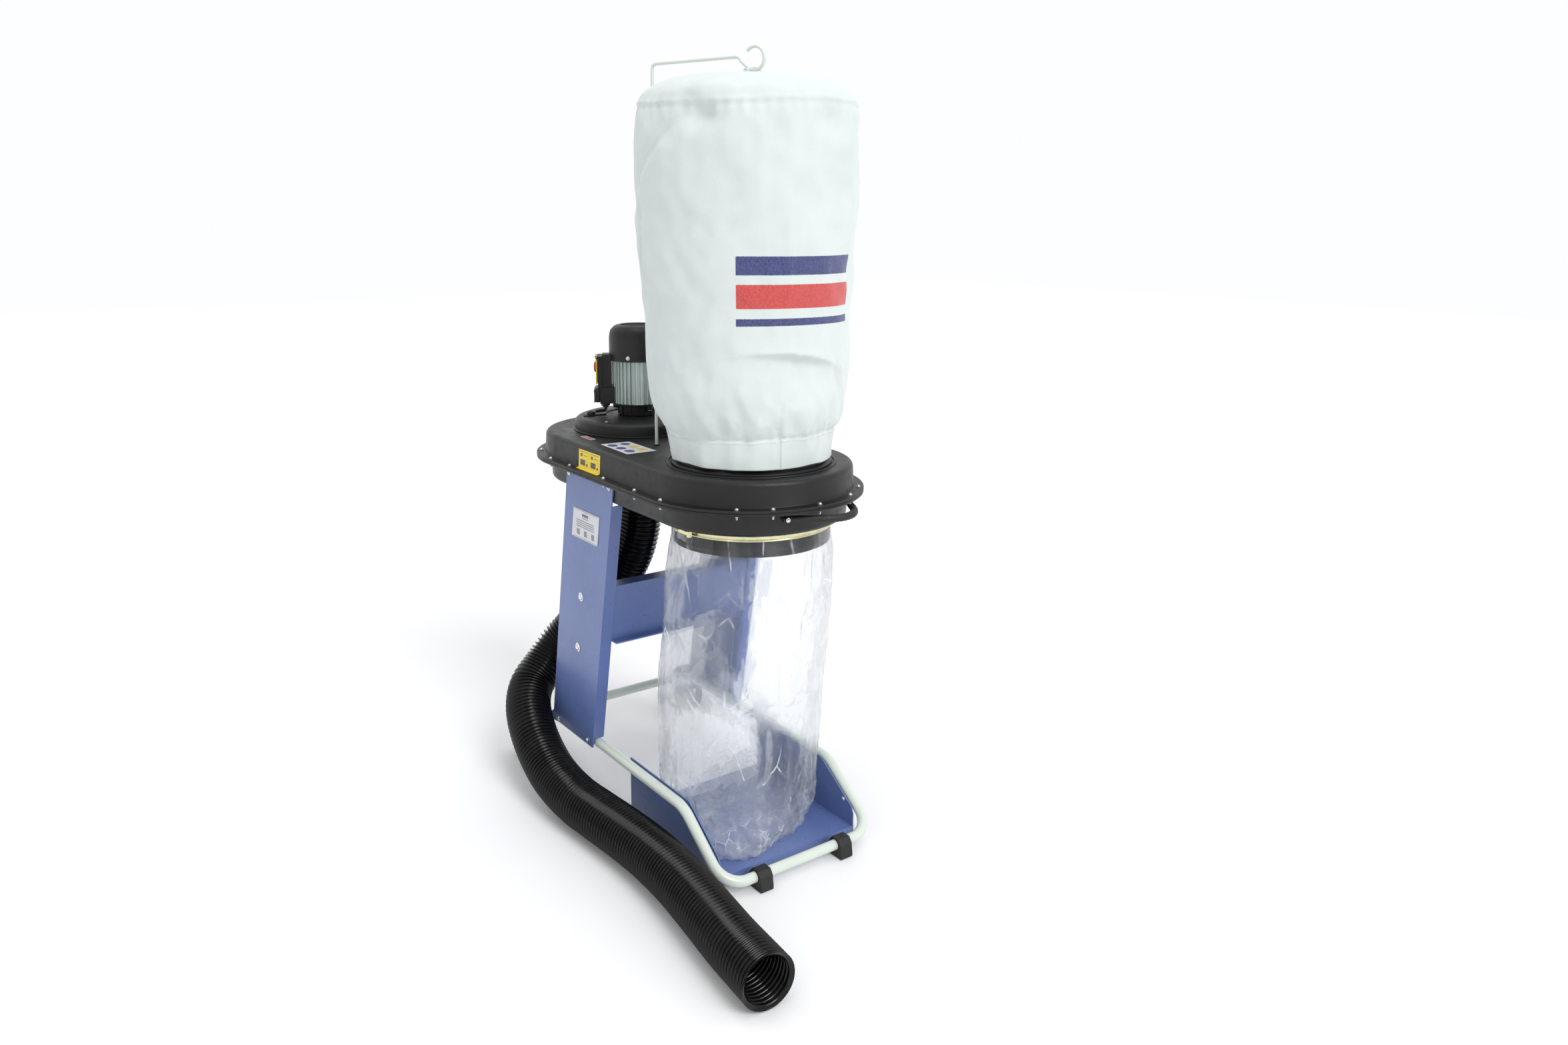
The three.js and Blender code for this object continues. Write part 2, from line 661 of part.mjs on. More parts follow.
// Hinged yellow flap over the two buttons.
const flapHinge = [plateFace + 3.1, switchZ[1] - 3];
function switchFlap() {
  const [hx, hz] = flapHinge;
  const [back, front] = [plateFace + 1.2, plateFace + 4];
  const sheetBody = box(back, front, -25, 25, switchZ[0] + 6, hz - 4.2)
    .add(discY(2.6, -14, 14, hx, hz, 16)).add(box(back, front, -14, 14, hz - 5, hz));
  return sheetBody.subtract(discY(1.6, -40, 40, hx, hz, 12))
    .subtract(discX(7.9, plateFace - 5, plateFace + 6, 0, 842));
}
function hingePin() {
  const [hx, hz] = flapHinge;
  return discY(1.3, -17, 17, hx, hz, 12);
}
function hingeLugs() {
  const [hx, hz] = flapHinge;
  const lug = (y) => box(plateFace - 1, hx + 2.4, y - 2, y + 2, hz - 2.6, hz + 2.4);
  return lug(-16.5).add(lug(16.5)).subtract(discY(1.6, -40, 40, hx, hz, 12));
}
function stopKnob() {
  return discX(7.5, plateFace + 1.2, plateFace + 4.4, 0, 842)
    .add(discX(10.5, plateFace + 4.3, plateFace + 7.2, 0, 842))
    .add(discX(8.5, plateFace + 7.2, plateFace + 8.8, 0, 842));
}
add("terminal_box", terminalBox(), blackPlastic, controls);
add("terminal_cover", terminalCover(), blackPlastic, controls);
add("run_capacitor", discY(9.5, -22, 4, 70, 788, 24), aluminium, controls);
add("switch_housing", switchHousing().add(hingeLugs()), blackPlastic, controls);
add("switch_plate", switchPlate(), blackPlastic, controls);
add("start_button", pushButton(buttonZ[0]), green, controls);
add("stop_button", pushButton(buttonZ[1]), red, controls);
add("switch_flap", switchFlap(), yellow, controls);
add("flap_hinge_pin", hingePin(), steel, controls);
add("emergency_stop_knob", stopKnob(), red, controls);
add("cable_gland", ringOf(3.8, 6, boxZ[0] - 9, boxZ[0] + 3.5, 66, 12, 12)
  .add(ringOf(3.9, 9, boxZ[0] - 6, boxZ[0] - 0.4, 66, 12, 6)), blackPlastic, controls);

// Stand --------------------------------------------------------------------------------------------
const legLeft = (z) => -166 - 0.1696 * (legTopZ - z);
const legRight = (z) => 21 - 0.1918 * (legTopZ - z);
// Channel-section leg on the -Y side; the other one is its mirror image.
function leg() {
  const inner = -legY + sheet;
  const web = plateXZ([
    [legLeft(legBottomZ), legBottomZ], [legRight(legBottomZ), legBottomZ],
    [legRight(legTopZ), legTopZ], [legLeft(legTopZ), legTopZ],
  ], -legY, inner);
  const low = tubeZ + tubeR + 1;
  const high = bellyZ - 4;
  const strip = (edge, thick) => plateXZ([
    [edge(low), low], [edge(low) + thick, low], [edge(high) + thick, high], [edge(high), high],
  ], inner - 0.5, -legY + legFlange);
  return web.add(strip(legLeft, sheet)).add(strip((z) => legRight(z) - sheet, sheet));
}
const mirrorY = (manifold) => manifold.mirror([0, 1, 0]);
function crossPanel() {
  const [low, high] = [333, 450];
  const face = (z) => legRight(z) - 3.2;
  const reach = legY - sheet - gap;
  const web = plateXZ([
    [face(low) - sheet, low], [face(low), low], [face(high), high], [face(high) - sheet, high],
  ], -reach, reach);
  const top = box(face(high) - 34, face(high), -reach, reach, high - sheet, high);
  const lipHalf = legY - legFlange - 3;
  const lip = box(face(low) - sheet, face(low) + 18, -lipHalf, lipHalf, low, low + sheet);
  const tab = plateXZ([
    [face(high) - 1, high], [face(low) - 1, low], [-118, 282], [-152, 282], [-140, 345], [-106, 430],
  ], -reach, -reach + sheet);
  return union(web, top, lip, tab, mirrorY(tab));
}
const slopeTop = [232, tubeZ];
function baseTube() {
  const corners = [
    [rearBarX, -tubeY, tubeZ], [slopeTop[0], -tubeY, tubeZ], [frontBarX, -tubeY, frontBarZ],
    [frontBarX, tubeY, frontBarZ], [slopeTop[0], tubeY, tubeZ], [rearBarX, tubeY, tubeZ],
  ];
  return bar(bentLine(corners, [42, 70, 46, 46, 70, 42], true, 5), tubeR, 12, true);
}
function dustTray() {
  const [x0, x1] = trayX;
  const floor = box(x0, x1, -trayHalfY, trayHalfY, trayZ - 2, trayZ);
  const wall = plateXZ([
    [x0, trayZ - 2], [x1, trayZ - 2], [x1, 44], [x1 - 6, 56], [228, tubeZ + 5], [x0, tubeZ + 5],
  ], -trayHalfY, -trayHalfY + 2);
  const frontLip = box(x1 - 2, x1, -trayHalfY, trayHalfY, trayZ - 11, trayZ);
  const rearLip = box(x0, x0 + 2, -trayHalfY, trayHalfY, trayZ - 11, trayZ);
  return union(floor, wall, mirrorY(wall), frontLip, rearLip);
}
function footClip(y) {
  const outline = [
    [-22, 0], [19, 0], [20, 4], [17, frontBarZ + 4], [10, frontBarZ + 13], [-8, frontBarZ + 13],
    [-16, frontBarZ + 3], [-22, 5],
  ].map(([x, z]) => [frontBarX + x, z]);
  return plateXZ(outline, y - 13, y + 13)
    .subtract(discY(tubeR + gap, y - 20, y + 20, frontBarX, frontBarZ, 32));
}

// Hanger: one bent rod that ends in an open hook above the filter bag.
const armEnd = [bagX - 1, 6];
function hangerRod() {
  const along = new THREE.Vector2(armEnd[0] - postX, armEnd[1] - postY);
  const reach = along.length();
  const dir = along.clone().normalize();
  const at = (s, z) => [postX + dir.x * s, postY + dir.y * s, z];
  const corners = [at(0, deckZ - 36), at(0, armZ), at(reach - 30, armZ), at(reach - 22, armZ - 20)];
  const path = bentLine(corners, [0, 9, 12, 0], false, 4);
  const hookR = 20;
  const hookZ = armZ - 5;
  const turn = Array.from({ length: 15 }, (_, i) => {
    const t = rad(-132 + (270 * i) / 14);
    return new THREE.Vector3(...at(reach + 1 + hookR * Math.cos(t), hookZ + hookR * Math.sin(t)));
  });
  return bar([...path.slice(0, -1), ...turn], rodR, 8);
}
function hangerSocket() {
  const top = deckZ - skin - gap;
  return disc(8, top - 44, top - 3, postX, postY, 16).add(disc(15, top - 3.5, top, postX, postY, 16))
    .subtract(disc(rodR + 0.4, top - 34, top + 1, postX, postY, 16));
}
// Wire bail in the top of the filter bag that lies in the hanger's hook.
function bagBail() {
  const crown = armZ - 5 - 20 + rodR + 1.6 + gap;
  const points = [];
  for (let i = 0; i <= 12; i++) {
    const t = i / 12;
    const offset = -26 + 52 * t;
    const across = new THREE.Vector2(-(armEnd[1] - postY), armEnd[0] - postX).normalize();
    const z = crown + 0.4 - 0.012 * offset * offset;
    points.push(new THREE.Vector3(armEnd[0] + 1 + across.x * offset, armEnd[1] + across.y * offset, z));
  }
  return bar(points, 1.6, 8);
}

// Wheels on shoulder bolts, each carried by a plate between the leg and the base tube.
function wheel() {
  const [inner, outer] = wheelY;
  const body = turned([
    [6.3, inner], [14, inner], [wheelR - 14, inner + 7], [wheelR - 11, inner], [wheelR, inner + 2],
    [wheelR, outer - 2], [wheelR - 11, outer], [wheelR - 14, outer - 7], [14, outer], [6.3, outer],
  ], 0, 0, 24);
  return body.rotate([90, 0, 0]).translate([wheelX, 0, wheelR]);
}
const plateIn = tubeY + tubeR + 0.4;
const plateOut = legY - sheet - gap;
function wheelBracket() {
  const arm = plateXZ([
    [-214, 106], [-214, 124], [-262, 124], [wheelX - 6, wheelR + 15], [wheelX - 15, wheelR + 2],
    [wheelX - 9, wheelR - 12], [wheelX + 8, wheelR - 13], [-270, 99],
  ], -plateOut, -plateIn);
  return arm.subtract(discY(5.3, -200, -150, wheelX, wheelR, 20));
}
function wheelBolt() {
  const [inner, outer] = wheelY;
  return discY(5, -outer - 1, -plateIn + 4.6, wheelX, wheelR, 20)
    .add(discY(6, -outer - 0.7, -plateOut - 4, wheelX, wheelR, 20))
    .add(discY(9, -inner + 0.5, -plateOut - 0.4, wheelX, wheelR, 20))
    .add(discY(9.5, -outer - 5, -outer - 0.6, wheelX, wheelR, 6));
}
const wheelNut = () => discY(8.5, -plateIn + 0.4, -plateIn + 7, wheelX, wheelR, 6)
  .subtract(discY(5.3, -200, -150, wheelX, wheelR, 20));

add("front_leg", leg(), bluePaint);
add("rear_leg", mirrorY(leg()), bluePaint);
add("cross_panel", crossPanel(), bluePaint);
add("base_tube", baseTube(), greyPaint);
add("dust_tray", dustTray(), bluePaint);
add("front_foot_clip", footClip(-88.5), rubber);
add("rear_foot_clip", footClip(88.5), rubber);
add("hanger_rod", hangerRod(), greyPaint);
add("hanger_socket", hangerSocket(), blackPlastic);
add("filter_bag_bail", bagBail(), greyPaint);
add("front_wheel_bracket", wheelBracket(), bluePaint);
add("rear_wheel_bracket", mirrorY(wheelBracket()), bluePaint);
add("front_wheel", wheel(), rubber);
add("rear_wheel", mirrorY(wheel()), rubber);
add("front_wheel_bolt", wheelBolt(), steel);
add("rear_wheel_bolt", mirrorY(wheelBolt()), steel);
add("front_wheel_nut", wheelNut(), steel);
add("rear_wheel_nut", mirrorY(wheelNut()), steel);

// Rating plate, square to the leg's slant.
function ratingPlate() {
  const slant = (x, z) => [x + 0.18 * (z - 556), z];
  const outline = [slant(-146, 527), slant(-40, 527), slant(-40, 586), slant(-146, 586)];
  return plateXZ(outline, -legY - 1, -legY - 0.3);
}
add("rating_plate", ratingPlate(), aluminium);

export default machine;
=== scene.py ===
"""The looks of a two-bag dust collector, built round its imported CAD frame.

Pieces are drawn in millimetres in the frame of the CAD source, whose X is offset from the row
frame, and at() turns such a point into metres in the row frame.
"""

import math
from math import atan2, cos, exp, hypot, pi, radians, sin

import bmesh
import bpy
from mathutils import Matrix, Vector, noise
from mathutils.geometry import tessellate_polygon


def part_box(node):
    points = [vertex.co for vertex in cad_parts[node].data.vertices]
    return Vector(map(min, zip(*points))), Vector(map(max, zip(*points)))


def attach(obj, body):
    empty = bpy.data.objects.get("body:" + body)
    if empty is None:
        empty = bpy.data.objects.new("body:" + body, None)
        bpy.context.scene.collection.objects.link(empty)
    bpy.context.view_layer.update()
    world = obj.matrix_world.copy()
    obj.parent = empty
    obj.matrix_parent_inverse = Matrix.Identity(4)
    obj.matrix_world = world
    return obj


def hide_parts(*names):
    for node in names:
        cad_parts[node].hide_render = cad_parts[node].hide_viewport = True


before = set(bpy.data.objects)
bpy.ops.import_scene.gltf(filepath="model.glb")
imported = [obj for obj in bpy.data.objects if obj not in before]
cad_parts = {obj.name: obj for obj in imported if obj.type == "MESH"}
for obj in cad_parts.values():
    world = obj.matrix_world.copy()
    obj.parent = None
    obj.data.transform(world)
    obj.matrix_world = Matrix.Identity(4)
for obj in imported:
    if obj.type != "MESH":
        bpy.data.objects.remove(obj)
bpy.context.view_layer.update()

# Driving dimensions, in millimetres -----------------------------------------------------------

MM = 0.001


def lowest(node):
    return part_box(node)[0] / MM


def highest(node):
    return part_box(node)[1] / MM


def middle(node):
    return (lowest(node) + highest(node)) / 2


HOUSING_X = middle("upper_shell").x
FLANGE_R = (highest("upper_shell").y - lowest("upper_shell").y) / 2
HALF_SPAN = (highest("upper_shell").x - lowest("upper_shell").x) / 2 - FLANGE_R
SHIFT_X = HOUSING_X  # the CAD source draws the housing centred on X = 0
DECK_Z = highest("upper_shell").z
SPLIT_Z = lowest("upper_shell").z
BELLY_Z = lowest("lower_shell").z
MOTOR_X = middle("motor_shaft").x - SHIFT_X
BAG_X = middle("dust_collar").x - SHIFT_X
UPPER_R = 185.0
LOWER_R = 175.0
FLANGE_T = 4.7
LEG_Y = -lowest("front_leg").y
TRAY_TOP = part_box("dust_tray")[0].z / MM + 11.0


def at(x, y, z):
    return Vector(((x + SHIFT_X) * MM, y * MM, z * MM))


# Camera ----------------------------------------------------------------------------------------

PHOTO_WIDTH = 2352
SENSOR = 36.0


def make_camera():
    eye = at(1876.3, -1172.0, 1148.8)
    yaw, pitch, roll = -0.08217, -0.15947, 0.00522
    focal, down = 1747.7, -180.0
    heading = atan2(-(eye.y), -(eye.x - SHIFT_X * MM)) + yaw
    forward = Vector((cos(heading) * cos(pitch), sin(heading) * cos(pitch), sin(pitch)))
    right = forward.cross(Vector((0, 0, 1))).normalized()
    up = right.cross(forward)
    turned_right = right * cos(roll) + up * sin(roll)
    turned_up = up * cos(roll) - right * sin(roll)
    data = bpy.data.cameras.new("camera")
    data.sensor_width = SENSOR
    data.lens = focal / PHOTO_WIDTH * SENSOR
    data.shift_y = down / PHOTO_WIDTH
    data.clip_start = 0.05
    data.clip_end = 60
    camera = bpy.data.objects.new("camera", data)
    bpy.context.scene.collection.objects.link(camera)
    rows = Matrix((turned_right, turned_up, -forward)).transposed().to_4x4()
    camera.matrix_world = Matrix.Translation(eye) @ rows
    bpy.context.scene.camera = camera


make_camera()


# Materials ---------------------------------------------------------------------------------------


class Look:
    """A Principled material and the few node patterns its surfaces are made of."""

    def __init__(self, name, colour, roughness, metallic=0.0, **inputs):
        self.material = bpy.data.materials.new(name)
        self.material.use_nodes = True
        self.tree = self.material.node_tree
        self.shader = self.tree.nodes["Principled BSDF"]
        self.shader.inputs["Base Color"].default_value = (*colour, 1)
        self.shader.inputs["Roughness"].default_value = roughness
        self.shader.inputs["Metallic"].default_value = metallic
        for key, value in inputs.items():
            self.shader.inputs[key.replace("_", " ")].default_value = value
        self.coordinates = self.tree.nodes.new("ShaderNodeTexCoord").outputs["Object"]
        self.normal = None

    def node(self, kind, **settings):
        made = self.tree.nodes.new(kind)
        for key, value in settings.items():
            setattr(made, key, value)
        return made

    def feed(self, socket, value):
        if isinstance(value, bpy.types.NodeSocket):
            self.tree.links.new(value, socket)
        elif hasattr(value, "__len__") and len(value) == 3 and len(socket.default_value) == 4:
            socket.default_value = (*value, 1)
        else:
            socket.default_value = value

    def math(self, operation, a, b=0.0, c=0.0, clamp=False):
        made = self.node("ShaderNodeMath", operation=operation, use_clamp=clamp)
        for socket, value in zip(made.inputs, (a, b, c)):
            self.feed(socket, value)
        return made.outputs[0]

    def noise(self, scale, detail=3.0, stretch=(1, 1, 1), roughness=0.55, warp=0.0):
        place = self.node("ShaderNodeMapping")
        self.feed(place.inputs["Vector"], self.coordinates)
        place.inputs["Scale"].default_value = stretch
        made = self.node("ShaderNodeTexNoise")
        self.feed(made.inputs["Vector"], place.outputs[0])
        made.inputs["Scale"].default_value = scale
        made.inputs["Detail"].default_value = detail
        made.inputs["Roughness"].default_value = roughness
        made.inputs["Distortion"].default_value = warp
        return made.outputs["Fac"]

    def cells(self, scale, feature="F1", stretch=(1, 1, 1)):
        place = self.node("ShaderNodeMapping")
        self.feed(place.inputs["Vector"], self.coordinates)
        place.inputs["Scale"].default_value = stretch
        made = self.node("ShaderNodeTexVoronoi", feature=feature)
        self.feed(made.inputs["Vector"], place.outputs[0])
        made.inputs["Scale"].default_value = scale
        return made.outputs["Distance"]

    def between(self, value, low, high, out_low=0.0, out_high=1.0):
        """The value's share of the way from low to high, mapped to another range and held there."""
        made = self.node("ShaderNodeMapRange", clamp=True)
        for key, number in zip(
            ("Value", "From Min", "From Max", "To Min", "To Max"),
            (value, low, high, out_low, out_high),
        ):
            self.feed(made.inputs[key], number)
        return made.outputs[0]

    def mix(self, share, a, b):
        made = self.node("ShaderNodeMix", data_type="RGBA")
        self.feed(made.inputs["Factor"], share)
        self.feed(made.inputs["A"] if False else made.inputs[6], a)
        self.feed(made.inputs[7], b)
        return made.outputs[2]

    def colour(self, value):
        self.feed(self.shader.inputs["Base Color"], value)

    def rough(self, value):
        self.feed(self.shader.inputs["Roughness"], value)

    def bump(self, height, depth_mm, strength=1.0):
        made = self.node("ShaderNodeBump")
        self.feed(made.inputs["Height"], height)
        made.inputs["Strength"].default_value = strength
        made.inputs["Distance"].default_value = depth_mm * MM
        if self.normal is not None:
            self.feed(made.inputs["Normal"], self.normal)
        self.normal = made.outputs[0]
        self.feed(self.shader.inputs["Normal"], self.normal)

    def axes(self):
        split = self.node("ShaderNodeSeparateXYZ")
        self.feed(split.inputs[0], self.coordinates)
        return split.outputs


def black_plastic():
    look = Look("moulded black plastic", (0.009, 0.009, 0.010), 0.42, Specular_IOR_Level=0.4)
    cloudy = look.noise(9, 4)
    look.colour(look.mix(look.between(cloudy, 0.35, 0.7), (0.0065, 0.0065, 0.0075),
            (0.0125, 0.012, 0.0125)))
    dust = look.between(look.noise(55, 6), 0.5, 0.8)
    look.rough(look.between(look.math("ADD", look.math("MULTIPLY", dust, 0.5), cloudy), 0.3, 0.95, 0.36,
            0.56))
    look.bump(look.noise(1500, 2), 0.10, 0.5)
    look.bump(look.noise(14, 2), 0.6, 0.16)
    return look.material


def hose_plastic():
    look = Look("glossy hose vinyl", (0.004, 0.004, 0.0045), 0.14, Specular_IOR_Level=0.22,
            Coat_Weight=0.12, Coat_Roughness=0.08)
    patches = look.noise(24, 4)
    look.colour(look.mix(look.between(patches, 0.4, 0.7), (0.0045, 0.0045, 0.005), (0.010, 0.0095, 0.009)))
    look.rough(look.between(patches, 0.35, 0.7, 0.10, 0.24))
    look.bump(look.noise(160, 3), 0.10, 0.25)
    return look.material


def rubber():
    look = Look("black rubber", (0.018, 0.018, 0.018), 0.62)
    scuffs = look.noise(70, 6)
    look.colour(look.mix(look.between(scuffs, 0.5, 0.8), (0.008, 0.008, 0.009), (0.026, 0.025, 0.024)))
    look.rough(look.between(scuffs, 0.3, 0.8, 0.48, 0.78))
    look.bump(look.noise(900, 3), 0.10, 0.5)
    return look.material


def paint(name, colour, shade, chip, rough=(0.26, 0.42), peel=0.06):
    """Powder coat: orange peel, faint clouding and a few rubbed spots."""
    look = Look(name, colour, rough[0], Coat_Weight=0.15, Coat_Roughness=0.2)
    cloudy = look.noise(7, 3)
    base = look.mix(look.between(cloudy, 0.3, 0.7), shade, colour)
    rubbed = look.between(look.math("MULTIPLY", look.noise(26, 8), look.noise(160, 4)), 0.40, 0.46)
    look.colour(look.mix(rubbed, base, chip))
    look.rough(look.between(look.noise(90, 4), 0.3, 0.75, *rough))
    look.bump(look.noise(420, 2), peel, 0.5)
    return look.material


def metal(name, colour, dark, rough=(0.18, 0.38), scale=180, stretch=(1, 1, 1), depth=0.03):
    look = Look(name, colour, rough[0], 1.0)
    grain = look.noise(scale, 5, stretch)
    tarnish = look.between(look.noise(60, 5), 0.45, 0.75)
    look.colour(look.mix(tarnish, colour, dark))
    look.rough(look.between(grain, 0.3, 0.7, *rough))
    look.bump(grain, depth, 0.5)
    return look.material


def cast_aluminium():
    look = Look("cast aluminium", (0.52, 0.60, 0.57), 0.42, 0.55)
    grain = look.noise(700, 4)
    streaks = look.noise(60, 4, (1, 1, 0.12))
    look.colour(look.mix(look.between(streaks, 0.35, 0.7), (0.40, 0.47, 0.45), (0.60, 0.68, 0.65)))
    look.rough(look.between(grain, 0.3, 0.7, 0.34, 0.52))
    look.bump(grain, 0.12, 0.6)
    return look.material


def plastic(name, colour, rough=(0.25, 0.4)):
    look = Look(name, colour, rough[0])
    patches = look.noise(120, 3)
    darker = tuple(0.72 * c for c in colour)
    look.colour(look.mix(look.between(patches, 0.35, 0.75), darker, colour))
    look.rough(look.between(patches, 0.3, 0.7, *rough))
    look.bump(look.noise(1100, 2), 0.04, 0.5)
    return look.material


FELT_WHITE = (0.80, 0.865, 0.85)


def filter_felt():
    """White needle felt with a band and two lines printed on its front."""
    look = Look("filter felt", FELT_WHITE, 0.95, Sheen_Weight=0.25, Sheen_Roughness=0.6)
    axes = look.axes()
    bag_x = middle("filter_bag").x * MM
    angle = look.math("ARCTAN2", axes[1], look.math("SUBTRACT", axes[0], bag_x))

    def within(value, low, high, soft):
        rise = look.between(value, low - soft, low + soft)
        fall = look.between(value, high - soft, high + soft, 1.0, 0.0)
        return look.math("MULTIPLY", rise, fall)

    frayed = look.math("MULTIPLY", look.math("SUBTRACT", look.noise(700, 2), 0.5), 0.0016)
    height = look.math("ADD", axes[2], frayed)
    across = within(angle, radians(-41), radians(31), 0.004)
    fibres = look.noise(520, 5, (1, 1, 0.6), 0.7, 0.6)
    stain = look.between(look.noise(5.5, 5, (1, 1, 0.7), 0.6, 0.5), 0.40, 0.72)
    cloth = look.mix(stain, (0.66, 0.705, 0.695), (0.56, 0.64, 0.625))
    cloth = look.mix(look.between(fibres, 0.2, 0.9, 0.0, 0.5), cloth, (0.51, 0.58, 0.57))
    weave = look.between(fibres, 0.25, 0.6, 0.86, 1.0)
    red = look.math("MULTIPLY", within(height, 1.000, 1.039, 0.0004), across)
    cloth = look.mix(look.math("MULTIPLY", red, weave), cloth, (0.52, 0.045, 0.04))
    for low, high in ((1.054, 1.084), (0.972, 0.984)):
        line = look.math("MULTIPLY", within(height, low, high, 0.0004), across)
        cloth = look.mix(look.math("MULTIPLY", line, weave), cloth, (0.028, 0.035, 0.15))
    look.colour(cloth)
    look.rough(look.between(fibres, 0.2, 0.8, 0.86, 1.0))
    look.bump(fibres, 0.35, 0.55)
    look.bump(look.noise(60, 4), 1.2, 0.22)
    return look.material


def clear_film():
    """Clear polythene: see-through and glossy, milky in streaks, with painted highlights as whiter crease
    lines and a whiter crumpled bottom.
    """
    look = Look("clear film", (0.95, 0.97, 1.0), 0.10, IOR=1.15, Transmission_Weight=0.9)
    streaks = look.noise(30, 6, (1, 1, 0.12), 0.6)
    webs = look.cells(15, "DISTANCE_TO_EDGE", (1, 1, 0.5))
    fine = look.cells(52, "DISTANCE_TO_EDGE", (1, 1, 0.6))
    height = look.axes()[2]
    low = look.between(height, 0.02, 0.16, 1.0, 0.0)
    # Painted highlights: thin white lines along creases, finer and denser on the crumpled bottom, stand in
    # for reflections on the creased film.
    broken_crease_highlights = look.math("MULTIPLY", look.between(webs, 0.0, 0.025, 1.0, 0.0),
            look.between(look.noise(19, 3), 0.48, 0.66))
    tiny_crease_highlights = look.math("MULTIPLY", look.between(fine, 0.0, 0.05, 1.0, 0.0), low)
    tiny_crease_highlights = look.math("MULTIPLY", tiny_crease_highlights, look.between(look.noise(33, 3), 0.42, 0.62))
    lines = look.math("MAXIMUM", broken_crease_highlights, tiny_crease_highlights)
    # The streaky milky haze is the film's own; the extra whiteness towards the bottom and along the crease
    # lines is painted highlight.
    haze_and_highlight = look.between(streaks, 0.30, 0.78, 0.01, 0.13)
    haze_and_highlight = look.math("ADD", haze_and_highlight, look.math("MULTIPLY", low, 0.06))
    haze_and_highlight = look.math("ADD", haze_and_highlight, look.math("MULTIPLY", lines, 0.40), clamp=True)
    look.feed(look.shader.inputs["Transmission Weight"], look.math("SUBTRACT", 1.0, haze_and_highlight))
    look.feed(look.shader.inputs["Alpha"], look.between(haze_and_highlight, 0.05, 0.35, 0.42, 0.92))
    look.rough(look.between(streaks, 0.3, 0.8, 0.05, 0.16))
    look.bump(look.noise(24, 5, (1, 1, 0.35), 0.6, 0.4), 2.0, 0.30)
    look.bump(lines, 0.5, 0.5)
    return look.material


def printed(name, ground, shapes, along, low, high, across, left, right):
    """A label with plain shapes: (kind, colour, left, right, bottom, top) in shares of its face."""
    look = Look(name, ground, 0.35)
    axes = look.axes()
    u = look.between(axes[across], left, right)
    v = look.between(axes[along], low, high)
    blotch = look.between(look.noise(400, 3), 0.2, 0.6, 0.75, 1.0)
    worn = tuple(0.84 * c for c in ground)
    face = look.mix(look.between(look.noise(40, 4), 0.5, 0.8), ground, worn)
    for kind, ink, u0, u1, v0, v1 in shapes:
        du = look.math("DIVIDE", look.math("SUBTRACT", u, (u0 + u1) / 2), (u1 - u0) / 2)
        dv = look.math("DIVIDE", look.math("SUBTRACT", v, (v0 + v1) / 2), (v1 - v0) / 2)
        if kind == "disc":
            reach = look.math("ADD", look.math("MULTIPLY", du, du), look.math("MULTIPLY", dv, dv))
        else:
            reach = look.math("MAXIMUM", look.math("ABSOLUTE", du), look.math("ABSOLUTE", dv))
        mask = look.math("LESS_THAN", reach, 1.0)
        face = look.mix(look.math("MULTIPLY", mask, blotch), face, ink)
    look.colour(face)
    look.rough(look.between(look.noise(200, 3), 0.3, 0.7, 0.28, 0.45))
    look.bump(look.noise(300, 3), 0.03, 0.4)
    return look.material


PLASTIC = black_plastic()
HOSE = hose_plastic()
RUBBER = rubber()
BLUE = paint("blue powder coat", (0.125, 0.185, 0.42), (0.100, 0.150, 0.36), (0.18, 0.22, 0.34))
GREY = paint("grey-green enamel", (0.66, 0.715, 0.655), (0.60, 0.66, 0.60), (0.45, 0.46, 0.43),
        (0.16, 0.30), 0.03)
ZINC = metal("bright zinc", (0.78, 0.79, 0.80), (0.50, 0.50, 0.50))
GOLD_ZINC = metal("yellow zinc", (0.74, 0.69, 0.42), (0.52, 0.56, 0.36), (0.14, 0.34), 90, (1, 1, 4))
STEEL = metal("bare steel", (0.42, 0.42, 0.43), (0.24, 0.22, 0.21), (0.30, 0.50))
ALUMINIUM = cast_aluminium()
BRUSHED = metal("brushed aluminium", (0.80, 0.81, 0.82), (0.62, 0.63, 0.64), (0.22, 0.40), 500,
        (1, 1, 0.05))
COPPER = metal("varnished copper", (0.60, 0.27, 0.12), (0.35, 0.14, 0.06), (0.25, 0.45), 300)
GREEN = plastic("green plastic", (0.03, 0.33, 0.09))
RED = plastic("red plastic", (0.60, 0.025, 0.02))
YELLOW = plastic("yellow plastic", (0.85, 0.60, 0.03))
FELT = filter_felt()
FILM = clear_film()


# Mesh building ------------------------------------------------------------------------------------
# A solid is a pair of lists: points in metres, and faces as tuples of point numbers.


def joined(*solids):
    points, faces = [], []
    for more_points, more_faces in solids:
        base = len(points)
        points += more_points
        faces += [tuple(i + base for i in face) for face in more_faces]
    return points, faces


def placed(solid, matrix):
    return [matrix @ Vector(p) for p in solid[0]], solid[1]


def facing(position, normal, spin=0.0):
    """The matrix that takes a solid drawn about the origin, along +Z, to a place and direction."""
    turn = Vector((0, 0, 1)).rotation_difference(Vector(normal).normalized())
    return Matrix.Translation(position) @ turn.to_matrix().to_4x4() @ Matrix.Rotation(spin, 4, "Z")


def swept(rings, loop=False, caps=True):
    """Skin over a row of equal rings, each closed on itself."""
    n = len(rings[0])
    points = [p for ring in rings for p in ring]
    faces = []
    rows = len(rings) if loop else len(rings) - 1
    for i in range(rows):
        a, b = i * n, ((i + 1) % len(rings)) * n
        faces += [(a + j, a + (j + 1) % n, b + (j + 1) % n, b + j) for j in range(n)]
    if caps and not loop:
        faces.append(tuple(reversed(range(n))))
        faces.append(tuple((len(rings) - 1) * n + j for j in range(n)))
    return points, faces


